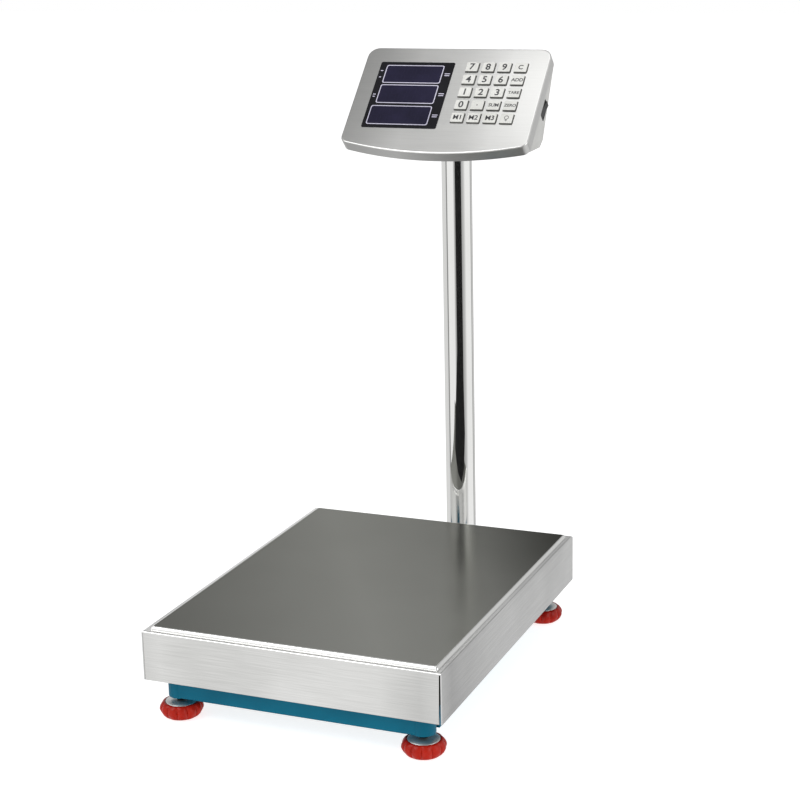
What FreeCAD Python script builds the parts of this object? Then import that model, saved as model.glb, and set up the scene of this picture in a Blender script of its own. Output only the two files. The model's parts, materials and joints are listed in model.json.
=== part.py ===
"""Bench scale: steel pan on a load cell, levelling feet, column and a tilting price-computing head.

Axes: +X to the operator's right, +Y to the back, +Z up.  The origin is on the floor, under the middle
of the whole scale.  Head parts are drawn flat, with x to the right, y up the slope from the face's top
edge and z out of the face, and are then tilted into place.  All lengths are in millimetres.
"""
import FreeCAD, Part
import Sketcher
import math
import os
import re

DIMS = {
    # platform
    "pan_width": 350, "pan_length": 450, "pan_front": -279, "rim_level": 104, "skirt_depth": 57,
    "sheet_thick": 1.5, "top_raise": 3.4, "top_inset": 6.5, "seam_gap": 1.6,
    # base frame
    "rail_width": 26, "rail_tall": 25, "rail_level": 25, "rail_wall": 2, "boss_radius": 13.5,
    "boss_level": 24, "boss_top": 62, "foot_inset_x": 31, "foot_inset_y": 25,
    # feet
    "knob_radius": 24, "knob_tall": 17, "stud_radius": 5, "stud_fit": 0.05, "stud_top": 58, "dish_radius": 17.5,
    "dish_tall": 2.4,
    # load cell and load frame
    "cell_length": 130, "cell_width": 30, "cell_tall": 22, "cell_hole_inset": 13, "cell_hole_pitch": 25,
    "bolt_radius": 3, "live_hole_gap": 0.4, "beam_width": 50, "beam_tall": 15, "pad_plate": 4,
    "arm_width": 20, "arm_reach": 410, "arm_x": 130, "rubber_radius": 12, "stop_gap": 0.8,
    # column
    "column_radius": 19, "column_wall": 1.5, "column_offset": 75, "column_top": 556, "socket_radius": 22.5,
    "socket_top": 64, "bracket_half": 46, "bracket_nose_radius": 33, "plate_thick": 6, "flange_tall": 20,
    "flange_thick": 4, "rib_thick": 4, "bolt_rise": 13, "cable_radius": 2.25, "cable_hole_radius": 4,
    # head yoke
    "yoke_half": 38, "yoke_length": 40, "yoke_plug": 30, "yoke_bore_radius": 12, "yoke_hole_radius": 6,
    "ear_thick": 4, "ear_radius": 11, "pivot_level": 588, "pivot_radius": 4, "lug_inner": 23.5, "lug_thick": 10,
    "lug_radius": 10, "grip_radius": 12, "grip_thick": 14, "grip_gap": 0.4, "stem_length": 30,
    # head
    "head_width": 240, "head_length": 161, "head_tilt": 45.3, "head_setback": 543.1, "head_level": 687.6,
    "top_corner": 14, "low_corner": 10, "low_arc": 500, "band_depth": 16, "shell_wall": 2.5, "shell_inset": 2,
    "shell_lip": 8, "back_start": 17, "back_slope": 0.32, "belly_s": 100, "chin_s": 113, "chin_depth": 46,
    "heel_s": 142, "heel_depth": 18,
    # keypad and display
    "key_width": 16.7, "key_length": 14.7, "key_rise": 2.6, "key_sink": 6.5, "key_gap": 0.3, "key_pitch_x": 20.8,
    "key_pitch_y": 19.4, "key_first_x": 24.1, "key_first_y": 30.5, "window_width": 98, "window_top": 23,
    "window_length": 102, "window_thick": 2.8, "window_proud": 0.4, "row_length": 78, "row_tall": 26,
    # inside and on the back of the head
    "board_depth": 8.2, "board_thick": 1.6, "board_length": 196, "board_width": 122, "battery_length": 70,
    "battery_width": 34, "battery_thick": 24, "screw_radius": 1.5, "screw_head_radius": 3.4, "post_radius": 4,
    "inlet_x": 70, "inlet_down": 80, "inlet_radius": 7, "collar_radius": 9.5, "collar_thick": 1.6,
    "socket_bore": 2.75, "pin_radius": 1,
    # power switch
    "rocker_down": 71, "rocker_half": 10.5, "rocker_depth": 28, "rocker_width": 9, "rocker_room": 0.7,
    "trunnion_radius": 0.8, "trunnion_reach": 1.6,
}
KEY_COLUMNS = 4
KEY_ROWS = 5
KEY_NAMES = [
    "key_7", "key_8", "key_9", "key_clear",
    "key_4", "key_5", "key_6", "key_add",
    "key_1", "key_2", "key_3", "key_tare",
    "key_0", "key_point", "key_total", "key_zero",
    "key_memory_1", "key_memory_2", "key_memory_3", "key_lamp",
]
HEAD_Y = "pan_front + head_setback"
CORNERS = {"front_left": (-1, -1), "front_right": (1, -1), "rear_left": (-1, 1), "rear_right": (1, 1)}

doc = FreeCAD.newDocument("bench_scale")
sheet = doc.addObject("Spreadsheet::Sheet", "Dims")
nodes = []


def fill_sheet():
    for row, (alias, number) in enumerate(DIMS.items(), start=1):
        sheet.set(f"A{row}", alias)
        sheet.set(f"B{row}", str(number))
        sheet.setAlias(f"B{row}", alias)
    doc.recompute()


def value(alias):
    return float(sheet.get(alias))


def formula(text):
    """Turn a formula of plain dimension names into an expression on the sheet."""
    return re.sub(r"[a-z][a-z_]*", lambda word: "Dims." + word[0] if word[0] in DIMS else word[0], str(text))


def bind(item, **formulas):
    for prop, text in formulas.items():
        item.setExpression(prop.replace("__", "."), formula(text))


def place(item, x=0, y=0, z=0):
    bind(item, Placement__Base__x=x, Placement__Base__y=y, Placement__Base__z=z)


def box(name, size, corner):
    item = doc.addObject("Part::Box", name)
    bind(item, Length=size[0], Width=size[1], Height=size[2])
    place(item, *corner)
    return item


def rod(name, radius, length, base, axis=(0, 0, 1)):
    item = doc.addObject("Part::Cylinder", name)
    item.Placement.Rotation = FreeCAD.Rotation(FreeCAD.Vector(0, 0, 1), FreeCAD.Vector(*axis))
    bind(item, Radius=radius, Height=length)
    place(item, *base)
    return item


def hexagon(name, radius, length, base, axis=(0, 0, 1)):
    item = doc.addObject("Part::Prism", name)
    item.Polygon = 6
    item.Placement.Rotation = FreeCAD.Rotation(FreeCAD.Vector(0, 0, 1), FreeCAD.Vector(*axis))
    bind(item, Circumradius=radius, Height=length)
    place(item, *base)
    return item


def fuse(name, pieces):
    item = doc.addObject("Part::MultiFuse", name)
    item.Shapes = pieces
    return item


def cut(name, base, tools):
    item = doc.addObject("Part::Cut", name)
    item.Base = base
    item.Tool = tools[0] if len(tools) == 1 else fuse(name + "_tools", tools)
    return item


def common(name, first, second):
    item = doc.addObject("Part::Common", name)
    item.Base = first
    item.Tool = second
    return item


def group(name, pieces):
    item = doc.addObject("Part::Compound", name)
    item.Links = pieces
    return item


def node(label, item):
    item.Label = label
    nodes.append(item)
    return item


def tilt_into_place(item):
    bind(item, Placement=f"placement(vector(0; {HEAD_Y}; head_level); rotation(vector(1; 0; 0); head_tilt))")


# ---------------------------------------------------------------- sketches

def new_body(name):
    return doc.addObject("PartDesign::Body", name)


def origin_item(body, role):
    return next(item for item in body.Origin.OriginFeatures if item.Role == role)


def new_sketch(body, name, role="XY_Plane", level="0"):
    sketch = body.newObject("Sketcher::SketchObject", name)
    sketch.AttachmentSupport = [(origin_item(body, role), "")]
    sketch.MapMode = "FlatFace"
    sketch.setExpression("AttachmentOffset.Base.z", formula(level))
    return sketch


def fix_point(sketch, geometry, end, x, y):
    for kind, text in (("DistanceX", x), ("DistanceY", y)):
        point = sketch.getPoint(geometry, end)
        start = point.x if kind == "DistanceX" else point.y
        index = sketch.addConstraint(Sketcher.Constraint(kind, -1, 1, geometry, end, start))
        sketch.setExpression(f"Constraints[{index}]", formula(text))


def polygon(sketch, corners):
    """Closed outline through corners given as pairs of formulas."""
    first = sketch.GeometryCount
    count = len(corners)
    rough = [FreeCAD.Vector(30.0 * i, 10.0 * i * i + 1, 0) for i in range(count)]
    for i in range(count):
        sketch.addGeometry(Part.LineSegment(rough[i], rough[(i + 1) % count]))
    for i in range(count):
        sketch.addConstraint(Sketcher.Constraint("Coincident", first + i, 2, first + (i + 1) % count, 1))
    for i, (x, y) in enumerate(corners):
        fix_point(sketch, first + i, 1, x, y)


def rectangle(sketch, x_low, y_low, x_high, y_high):
    polygon(sketch, [(x_low, y_low), (x_high, y_low), (x_high, y_high), (x_low, y_high)])


def circle(sketch, radius, x, y):
    index = sketch.addGeometry(Part.Circle(FreeCAD.Vector(1, 1, 0), FreeCAD.Vector(0, 0, 1), 5))
    size = sketch.addConstraint(Sketcher.Constraint("Radius", index, 5))
    sketch.setExpression(f"Constraints[{size}]", formula(radius))
    fix_point(sketch, index, 3, x, y)


def pad(body, sketch, length, both_ways=False):
    item = body.newObject("PartDesign::Pad", sketch.Name + "_pad")
    item.Profile = sketch
    item.Midplane = both_ways
    bind(item, Length=length)
    doc.recompute()
    return item


def pocket(body, sketch, length, upward):
    """Cut the sketch into the body, away from or along the sketch's normal; it must remove material."""
    before = body.Shape.Volume
    item = body.newObject("PartDesign::Pocket", sketch.Name + "_pocket")
    item.Profile = sketch
    item.Reversed = upward
    bind(item, Length=length)
    doc.recompute()
    if body.Shape.Volume >= before - 1e-6:
        raise ValueError(f"{item.Name} removes nothing")
    return item


# ---------------------------------------------------------------- pan

def make_pan():
    body = new_body("pan_body")
    place(body, 0, "pan_front + pan_length / 2", 0)
    half_x = "pan_width / 2"
    half_y = "pan_length / 2"
    skirt = new_sketch(body, "pan_skirt", level="rim_level - skirt_depth")
    rectangle(skirt, f"-{half_x}", f"-{half_y}", half_x, half_y)
    pad(body, skirt, "skirt_depth")
    top = new_sketch(body, "pan_top", level="rim_level")
    rectangle(top, f"-{half_x} + top_inset", f"-{half_y} + top_inset",
              f"{half_x} - top_inset", f"{half_y} - top_inset")
    pad(body, top, "top_raise")
    inner = new_sketch(body, "pan_hollow", level="rim_level - skirt_depth")
    rectangle(inner, f"-{half_x} + sheet_thick", f"-{half_y} + sheet_thick",
              f"{half_x} - sheet_thick", f"{half_y} - sheet_thick")
    pocket(body, inner, "skirt_depth - sheet_thick", True)
    under = new_sketch(body, "pan_under_top", level="rim_level - sheet_thick - 0.5")
    reach = "(top_inset + sheet_thick)"
    rectangle(under, f"-{half_x} + {reach}", f"-{half_y} + {reach}",
              f"{half_x} - {reach}", f"{half_y} - {reach}")
    pocket(body, under, "top_raise + 0.5", True)
    seams = []
    for name, (side, end) in CORNERS.items():
        corner_x = f"({side}) * pan_width / 2"
        corner_y = f"pan_front + pan_length * {(1 + end) / 2}"
        seams.append(box(f"{name}_seam", ("seam_gap + sheet_thick", "seam_gap", "skirt_depth - 6"),
                         (f"{corner_x} - (seam_gap + sheet_thick) / 2 - ({side}) * (seam_gap - sheet_thick) / 2",
                          f"{corner_y} - seam_gap / 2 - ({end}) * seam_gap / 2",
                          "rim_level - skirt_depth - 2")))
    node("pan", cut("pan_part", body, seams))


# ---------------------------------------------------------------- base frame

def corner_position(side, end):
    x = f"({side}) * (pan_width / 2 - foot_inset_x)"
    y = f"pan_front + foot_inset_y + {(1 + end) / 2} * (pan_length - 2 * foot_inset_y)"
    return x, y


def boss_cylinders(prefix, radius):
    level = "boss_level"
    return [rod(f"{prefix}_{name}", radius, "boss_top - boss_level", (*corner_position(*corner), level))
            for name, corner in CORNERS.items()]


def square_tube(name, size, corner, wall, run):
    """Rectangular tube; run is 0 when it runs along x and 1 along y."""
    outer = box(name + "_outer", size, corner)
    inner_size = [f"{size[i]} + 2" if i == run else f"{size[i]} - 2 * {wall}" for i in range(3)]
    inner_corner = [f"{corner[i]} - 1" if i == run else f"{corner[i]} + {wall}" for i in range(3)]
    return cut(name, outer, [box(name + "_inner", inner_size, inner_corner)])


def make_base_frame():
    wall = "rail_wall"
    reach_x = "(pan_width / 2 - foot_inset_x)"
    end_rails = []
    for name, end in (("front", -1), ("rear", 1)):
        y = f"{corner_position(1, end)[1]} - rail_width / 2"
        tube = square_tube(f"{name}_rail", (f"2 * {reach_x}", "rail_width", "rail_tall"),
                           (f"-{reach_x}", y, "rail_level"), wall, 0)
        tools = boss_cylinders(f"{name}_rail_notch", "boss_radius")
        if name == "rear":
            tools.append(rod("rear_rail_cable_hole", 4, "rail_width + 4",
                             (0, f"{y} - 2", "rail_level + rail_tall / 2"), (0, 1, 0)))
            tools += bracket_bolt_shanks("rear_rail_bolt_hole")
        end_rails.append(cut(f"{name}_rail_cut", tube, tools))
    node("end_rails", group("end_rail_pair", end_rails))
    side_rails = []
    for name, side in (("left", -1), ("right", 1)):
        x = f"({side}) * {reach_x} - rail_width / 2"
        length = "pan_length - 2 * foot_inset_y"
        tube = square_tube(f"{name}_rail", ("rail_width", length, "rail_tall"),
                           (x, "pan_front + foot_inset_y", "rail_level"), wall, 1)
        blocks = boss_cylinders(f"{name}_rail_notch", "boss_radius")
        for end in (-1, 1):
            blocks.append(box(f"{name}_rail_end_{end + 1}", ("rail_width + 2", "rail_width", "rail_tall + 2"),
                              (f"{x} - 1", f"{corner_position(side, end)[1]} - rail_width / 2", "rail_level - 1")))
        side_rails.append(cut(f"{name}_rail_cut", tube, blocks))
    node("side_rails", group("side_rail_pair", side_rails))
    bosses = boss_cylinders("boss", "boss_radius")
    threads = boss_cylinders("boss_thread", "stud_radius + stud_fit")
    node("corner_bosses", group("corner_boss_set", [cut(f"{boss.Name}_bored", boss, [thread])
                                                    for boss, thread in zip(bosses, threads)]))


def make_feet():
    for name, (side, end) in CORNERS.items():
        x, y = corner_position(side, end)
        make_knob(name, x, y)
        node(f"{name}_foot_stud", rod(f"{name}_stud", "stud_radius", "stud_top - 3", (x, y, 3)))
        dish = doc.addObject("Part::Cone", f"{name}_dish_blank")
        bind(dish, Radius1="dish_radius", Radius2="dish_radius - 3.5", Height="dish_tall")
        place(dish, x, y, "knob_tall")
        bore = rod(f"{name}_dish_bore", "stud_radius + stud_fit", "dish_tall + 2", (x, y, "knob_tall - 1"))
        node(f"{name}_foot_dish", cut(f"{name}_dish", dish, [bore]))


def make_knob(name, x, y):
    body = new_body(f"{name}_knob_body")
    place(body, x, y, 0)
    profile = new_sketch(body, f"{name}_knob_profile", "XZ_Plane")
    polygon(profile, [(0, 0), ("knob_radius - 6.5", 0), ("knob_radius - 1.5", 4), ("knob_radius", 9),
                      ("knob_radius - 1.2", 13.5), ("knob_radius - 4.5", "knob_tall"),
                      ("stud_radius", "knob_tall"), ("stud_radius", 3), (0, 3)])
    turned = body.newObject("PartDesign::Revolution", f"{name}_knob_turned")
    turned.Profile = profile
    turned.ReferenceAxis = (origin_item(body, "Z_Axis"), [""])
    turned.Angle = 360
    doc.recompute()
    flute = new_sketch(body, f"{name}_knob_flute", level="knob_tall + 1")
    circle(flute, 5, "knob_radius + 3.2", 0)
    groove = pocket(body, flute, "knob_tall + 2", False)
    flutes = body.newObject("PartDesign::PolarPattern", f"{name}_knob_flutes")
    flutes.Originals = [groove]
    flutes.Axis = (origin_item(body, "Z_Axis"), [""])
    flutes.Angle = 360
    flutes.Occurrences = 12
    body.Tip = flutes
    doc.recompute()
    node(f"{name}_foot_knob", body)


# ---------------------------------------------------------------- load cell and load frame

PAN_MIDDLE = "pan_front + pan_length / 2"
CELL_FRONT = f"{PAN_MIDDLE} - cell_length / 2"
CELL_BACK = f"{PAN_MIDDLE} + cell_length / 2"
CELL_LEVEL = "rail_level + beam_tall + pad_plate"
CELL_TOP = f"{CELL_LEVEL} + cell_tall"
BEAM_LEVEL = f"{CELL_TOP} + pad_plate"
ARM_LEVEL = f"{BEAM_LEVEL} + beam_tall"


def cell_holes(end):
    """Centres of the two bolt holes at the fixed end (1) or the live end (-1)."""
    edge = CELL_BACK if end == 1 else CELL_FRONT
    return [f"{edge} - ({end}) * cell_hole_inset", f"{edge} - ({end}) * (cell_hole_inset + cell_hole_pitch)"]


def make_load_cell():
    block = box("cell_block", ("cell_width", "cell_length", "cell_tall"),
                ("-cell_width / 2", CELL_FRONT, CELL_LEVEL))
    middle = f"{CELL_LEVEL} + cell_tall / 2"
    tools = [rod(f"cell_eye_{i}", "cell_tall / 2 - 3", "cell_width + 2",
                 ("-cell_width / 2 - 1", f"{PAN_MIDDLE} + ({i}) * 14", middle), (1, 0, 0)) for i in (-1, 1)]
    tools.append(box("cell_slot", ("cell_width + 2", 28, "cell_tall / 2 - 4"),
                     ("-cell_width / 2 - 1", f"{PAN_MIDDLE} - 14", f"{middle} - (cell_tall / 2 - 4) / 2")))
    for end in (-1, 1):
        for i, y in enumerate(cell_holes(end)):
            radius = "bolt_radius" if end == 1 else "bolt_radius + live_hole_gap"
            tools.append(rod(f"cell_hole_{end + 1}_{i}", radius, "cell_tall + 2", (0, y, f"{CELL_LEVEL} - 1")))
    node("load_cell", cut("cell", block, tools))


def beam_with_holes(name, front, level, end):
    """Cross tube with its two bolt holes; front is its front face."""
    half = "(pan_width / 2 - foot_inset_x - rail_width / 2)"
    tube = square_tube(f"{name}_tube", (f"2 * {half}", "beam_width", "beam_tall"),
                       (f"-{half}", front, level), "rail_wall", 0)
    holes = [rod(f"{name}_hole_{i}", "bolt_radius", "beam_tall + 2", (0, y, f"{level} - 1"))
             for i, y in enumerate(cell_holes(end))]
    return tube, holes


def bolt(name, head_level, upward, shank_length, y):
    """Hexagon-head cell bolt; the head is below the shank when upward is True."""
    head_base = f"{head_level} - 4" if upward else head_level
    shank_base = head_level if upward else f"{head_level} - ({shank_length})"
    return fuse(name, [hexagon(f"{name}_head", "bolt_radius * 1.9", 4, (0, y, head_base)),
                       rod(f"{name}_shank", "bolt_radius", shank_length, (0, y, shank_base))])


def make_load_frame():
    tube, holes = beam_with_holes("cross_beam", f"{CELL_BACK} - beam_width", "rail_level", 1)
    node("cross_beam", cut("lower_beam", tube, holes))
    spacer = box("cell_spacer_plate", ("cell_width", "beam_width", "pad_plate"),
                 ("-cell_width / 2", f"{CELL_BACK} - beam_width", "rail_level + beam_tall"))
    spacer_holes = [rod(f"cell_spacer_hole_{i}", "bolt_radius", "pad_plate + 2", (0, y, "rail_level + beam_tall - 1"))
                    for i, y in enumerate(cell_holes(1))]
    node("cell_spacer", cut("cell_spacer_part", spacer, spacer_holes))
    node("cell_base_bolts", group("base_bolts", [
        bolt(f"base_bolt_{i}", "rail_level", True, "beam_tall + pad_plate + 14", y)
        for i, y in enumerate(cell_holes(1))]))

    tube, holes = beam_with_holes("load_beam", CELL_FRONT, BEAM_LEVEL, -1)
    foot = box("load_beam_pad", ("cell_width", "beam_width", "pad_plate"),
               ("-cell_width / 2", CELL_FRONT, CELL_TOP))
    foot_holes = [rod(f"load_beam_pad_hole_{i}", "bolt_radius", "pad_plate + 2", (0, y, f"{CELL_TOP} - 1"))
                  for i, y in enumerate(cell_holes(-1))]
    node("load_beam", cut("upper_beam", fuse("upper_beam_blank", [tube, foot]), holes + foot_holes))
    node("cell_top_bolts", group("top_bolts", [
        bolt(f"top_bolt_{i}", f"{BEAM_LEVEL} + beam_tall", False, "beam_tall + pad_plate + 14", y)
        for i, y in enumerate(cell_holes(-1))]))

    arms = []
    pads = []
    stops = []
    rubber_level = f"{ARM_LEVEL} + beam_tall"
    stop_top = f"{ARM_LEVEL} - stop_gap"
    rail_top = "rail_level + rail_tall"
    for side in (-1, 1):
        arms.append(square_tube(f"load_arm_{side + 1}", ("arm_width", "arm_reach", "beam_tall"),
                                (f"({side}) * arm_x - arm_width / 2", f"{PAN_MIDDLE} - arm_reach / 2", ARM_LEVEL),
                                1.5, 1))
        for end in (-1, 1):
            tag = f"{side + 1}_{end + 1}"
            pads.append(rod(f"rubber_pad_{tag}", "rubber_radius",
                            f"rim_level + top_raise - sheet_thick - ({rubber_level})",
                            (f"({side}) * arm_x", f"{PAN_MIDDLE} + ({end}) * (arm_reach / 2 - 15)", rubber_level)))
            x = f"({side}) * (arm_x + 5.5)"
            y = f"{PAN_MIDDLE} + ({end}) * 140"
            stops.append(fuse(f"overload_stop_{tag}", [
                rod(f"stop_screw_{tag}", 4, f"{stop_top} - ({rail_top})", (x, y, rail_top)),
                hexagon(f"stop_nut_{tag}", 7.5, 6, (x, y, rail_top))]))
    node("load_arms", group("load_arm_pair", arms))
    node("rubber_pads", group("rubber_pad_set", pads))
    node("overload_stops", group("overload_stop_set", stops))


# ---------------------------------------------------------------- column

COLUMN_Y = "pan_front + pan_length + column_offset"
FLANGE_FRONT = "pan_front + pan_length - foot_inset_y + rail_width / 2"
BOLT_X = (-39, -29, 29, 39)


def bracket_bolt_shanks(prefix):
    return [rod(f"{prefix}_{i}", "bolt_radius", "plate_thick + 4", (x, f"{FLANGE_FRONT} - 6", "rail_level + bolt_rise"),
                (0, 1, 0)) for i, x in enumerate(BOLT_X)]


def make_column():
    plate = box("bracket_plate", ("2 * bracket_nose_radius", "column_offset + foot_inset_y - rail_width / 2",
                                  "plate_thick"),
                ("-bracket_nose_radius", FLANGE_FRONT, "rail_level"))
    nose = rod("bracket_nose", "bracket_nose_radius", "plate_thick", (0, COLUMN_Y, "rail_level"))
    flange = box("bracket_flange", ("2 * bracket_half", "flange_thick", "flange_tall"),
                 ("-bracket_half", FLANGE_FRONT, "rail_level"))
    ribs = [box(f"bracket_rib_{i}", ("rib_thick", "column_offset + foot_inset_y - rail_width / 2", "flange_tall"),
                (x, FLANGE_FRONT, "rail_level")) for i, x in enumerate((-18, 14))]
    socket = rod("bracket_socket", "socket_radius", "socket_top - rail_level - plate_thick",
                 (0, COLUMN_Y, "rail_level + plate_thick"))
    blank = fuse("bracket_blank", [plate, nose, flange, *ribs, socket])
    tools = [rod("bracket_bore", "column_radius", "socket_top", (0, COLUMN_Y, "rail_level + plate_thick")),
             rod("bracket_cable_hole", "cable_hole_radius", "column_offset + foot_inset_y",
                 (0, f"{FLANGE_FRONT} - 2", "rail_level + rail_tall / 2"), (0, 1, 0))]
    node("column_bracket", cut("bracket", blank, tools + bracket_bolt_shanks("bracket_bolt_hole")))
    heads = [hexagon(f"bracket_bolt_head_{i}", "bolt_radius * 1.5", 4,
                     (x, f"{FLANGE_FRONT} + flange_thick", "rail_level + bolt_rise"), (0, 1, 0))
             for i, x in enumerate(BOLT_X)]
    node("column_bolts", group("bracket_bolts", [
        fuse(f"bracket_bolt_{i}", [head, shank])
        for i, (head, shank) in enumerate(zip(heads, bracket_bolt_shanks("bracket_bolt")))]))

    length = "column_top - rail_level - plate_thick"
    base = (0, COLUMN_Y, "rail_level + plate_thick")
    outer = rod("column_outer", "column_radius", length, base)
    inner = rod("column_inner", "column_radius - column_wall", f"{length} + 2",
                (0, COLUMN_Y, "rail_level + plate_thick - 1"))
    hole = rod("column_cable_hole", "cable_hole_radius", "column_radius + 2",
               (0, f"{COLUMN_Y} - column_radius - 2", "rail_level + rail_tall / 2"), (0, 1, 0))
    node("column", cut("column_tube", outer, [inner, hole]))


def make_yoke():
    level = "column_top"
    plate = box("yoke_plate", ("2 * yoke_half", "yoke_length", "ear_thick"),
                ("-yoke_half", f"{COLUMN_Y} - yoke_length / 2", level))
    plug = rod("yoke_stub", "column_radius - column_wall", "yoke_plug", (0, COLUMN_Y, f"{level} - yoke_plug"))
    blanks = [plate, plug]
    tools = [rod("yoke_bore", "yoke_bore_radius", "yoke_plug", (0, COLUMN_Y, f"{level} - yoke_plug - 2")),
             rod("yoke_cable_hole", "yoke_hole_radius", 20, (0, COLUMN_Y, f"{level} - 10"))]
    for side, x in ((0, "-yoke_half"), (1, "yoke_half - ear_thick")):
        blanks.append(box(f"yoke_ear_{side}", ("ear_thick", "2 * ear_radius", f"pivot_level - {level}"),
                          (x, f"{COLUMN_Y} - ear_radius", level)))
        blanks.append(rod(f"yoke_ear_top_{side}", "ear_radius", "ear_thick", (x, COLUMN_Y, "pivot_level"), (1, 0, 0)))
        tools.append(rod(f"yoke_ear_bore_{side}", "pivot_radius + stud_fit", "ear_thick + 2",
                         (f"{x} - 1", COLUMN_Y, "pivot_level"), (1, 0, 0)))
    node("head_yoke", cut("yoke", fuse("yoke_blank", blanks), tools))


def make_signal_cable():
    """One lead from the cell, under the pan, up the column and through the yoke into the head."""
    column_y = value("pan_front") + value("pan_length") + value("column_offset")
    rail_level = value("rail_level")
    low = rail_level + value("rail_tall") / 2
    cell_back = value("pan_front") + value("pan_length") / 2 + value("cell_length") / 2
    start_level = rail_level + value("beam_tall") + value("pad_plate") + value("cell_tall") / 2
    pivot = value("pivot_level")
    route = [FreeCAD.Vector(0, cell_back, start_level), FreeCAD.Vector(0, cell_back + 24, start_level),
             FreeCAD.Vector(0, cell_back + 50, low), FreeCAD.Vector(0, column_y, low),
             FreeCAD.Vector(0, column_y, pivot + 2), FreeCAD.Vector(0, column_y - 23.6, pivot + 12.9)]
    edges = []
    last = route[0]
    for before, corner, after in zip(route, route[1:], route[2:]):
        way_in = (corner - before).normalize()
        way_out = (after - corner).normalize()
        runs = (corner.distanceToPoint(before), corner.distanceToPoint(after))
        setback = min(0.45 * min(runs), 14.0)
        start = corner - way_in * setback
        end = corner + way_out * setback
        half_turn = way_in.getAngle(way_out) / 2
        bend = setback / math.tan(half_turn)
        centre = start + (way_out - way_in * way_in.dot(way_out)).normalize() * bend
        middle = centre + (corner - centre).normalize() * bend
        edges.append(Part.LineSegment(last, start).toShape())
        edges.append(Part.Arc(start, middle, end).toShape())
        last = end
    edges.append(Part.LineSegment(last, route[-1]).toShape())
    path = Part.Wire(edges)
    ring = Part.Wire([Part.Circle(route[0], FreeCAD.Vector(0, 1, 0), value("cable_radius")).toShape()])
    item = doc.addObject("Part::Feature", "cable")
    item.Shape = path.makePipeShell([ring], True, False)
    node("signal_cable", item)


# ---------------------------------------------------------------- head

def head_outline(sketch, inset):
    """The face's outline, moved in by inset: straight top and sides, bowed lower edge, round corners."""
    half = value("head_width") / 2 - inset
    top = -inset
    arc_radius = value("low_arc") - inset
    arc_y = value("low_arc") - value("head_length")
    top_r = value("top_corner") - inset
    low_r = value("low_corner") - inset
    vector = FreeCAD.Vector
    reach = arc_radius - low_r
    low_x = half - low_r
    low_y = arc_y - (reach * reach - low_x * low_x) ** 0.5
    touch = vector(low_x, low_y - arc_y, 0).normalize() * arc_radius
    pi = math.pi
    lean = vector(0, -1, 0).getAngle(touch)
    z_axis = vector(0, 0, 1)

    def circle_at(x, y, radius):
        return Part.Circle(vector(x, y, 0), z_axis, radius)

    sketch.addGeometry([
        Part.LineSegment(vector(-half + top_r, top, 0), vector(half - top_r, top, 0)),
        Part.ArcOfCircle(circle_at(half - top_r, top - top_r, top_r), 0, pi / 2),
        Part.LineSegment(vector(half, top - top_r, 0), vector(half, low_y, 0)),
        Part.ArcOfCircle(circle_at(low_x, low_y, low_r), 1.5 * pi + lean, 2 * pi),
        Part.ArcOfCircle(circle_at(0, arc_y, arc_radius), 1.5 * pi - lean, 1.5 * pi + lean),
        Part.ArcOfCircle(circle_at(-low_x, low_y, low_r), pi, 1.5 * pi - lean),
        Part.LineSegment(vector(-half, low_y, 0), vector(-half, top - top_r, 0)),
        Part.ArcOfCircle(circle_at(-half + top_r, top - top_r, top_r), pi / 2, pi),
    ])
    joints = [(0, 2, 1, 2), (1, 1, 2, 1), (2, 2, 3, 2), (3, 1, 4, 2), (4, 1, 5, 2), (5, 1, 6, 1), (6, 2, 7, 2),
              (7, 1, 0, 1)]
    for joint in joints:
        sketch.addConstraint(Sketcher.Constraint("Tangent", *joint))
    sketch.addConstraint(Sketcher.Constraint("Horizontal", 0))
    sketch.addConstraint(Sketcher.Constraint("Vertical", 2))
    sketch.addConstraint(Sketcher.Constraint("Vertical", 6))
    sketch.addConstraint(Sketcher.Constraint("PointOnObject", 4, 3, -2))
    bound = [("Radius", (1,), top_r, f"top_corner - {inset}"), ("Radius", (7,), top_r, f"top_corner - {inset}"),
             ("Radius", (3,), low_r, f"low_corner - {inset}"), ("Radius", (5,), low_r, f"low_corner - {inset}"),
             ("Radius", (4,), arc_radius, f"low_arc - {inset}"),
             ("DistanceX", (-1, 1, 2, 1), half, f"head_width / 2 - {inset}"),
             ("DistanceX", (-1, 1, 6, 1), -half, f"-head_width / 2 + {inset}"),
             ("DistanceY", (-1, 1, 4, 3), arc_y, "low_arc - head_length"),
             ("DistanceY", (-1, 1, 0, 1), top, f"-{inset}")]
    for kind, where, number, text in bound:
        index = sketch.addConstraint(Sketcher.Constraint(kind, *where, number))
        sketch.setExpression(f"Constraints[{index}]", formula(text))


def outline_solid(name, inset, low, tall):
    body = new_body(name)
    sketch = new_sketch(body, f"{name}_outline", level=low)
    head_outline(sketch, inset)
    pad(body, sketch, tall)
    return body


def profile_solid(name, corners, width):
    """Prism across the head, from a side profile of (distance down the slope, depth behind the face)."""
    body = new_body(name)
    sketch = new_sketch(body, f"{name}_profile", "YZ_Plane")
    polygon(sketch, [(f"-({down})", f"-({depth})") for down, depth in corners])
    pad(body, sketch, width, both_ways=True)
    return body


def key_centres():
    for index, name in enumerate(KEY_NAMES):
        column = index % KEY_COLUMNS
        row = index // KEY_COLUMNS
        yield name, f"key_first_x + {column} * key_pitch_x", f"-key_first_y - {row} * key_pitch_y"


def key_block(name, x, y, grow, low, tall):
    """Upright block round a key's centre; grow is added on each side."""
    return box(name, (f"key_width + 2 * ({grow})", f"key_length + 2 * ({grow})", tall),
               (f"{x} - key_width / 2 - ({grow})", f"{y} - key_length / 2 - ({grow})", low))


SCREW_SPOTS = [(-103, 28), (103, 28), (-103, 92), (103, 92)]


def back_depth(down):
    return f"(back_start + back_slope * {down})"


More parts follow.
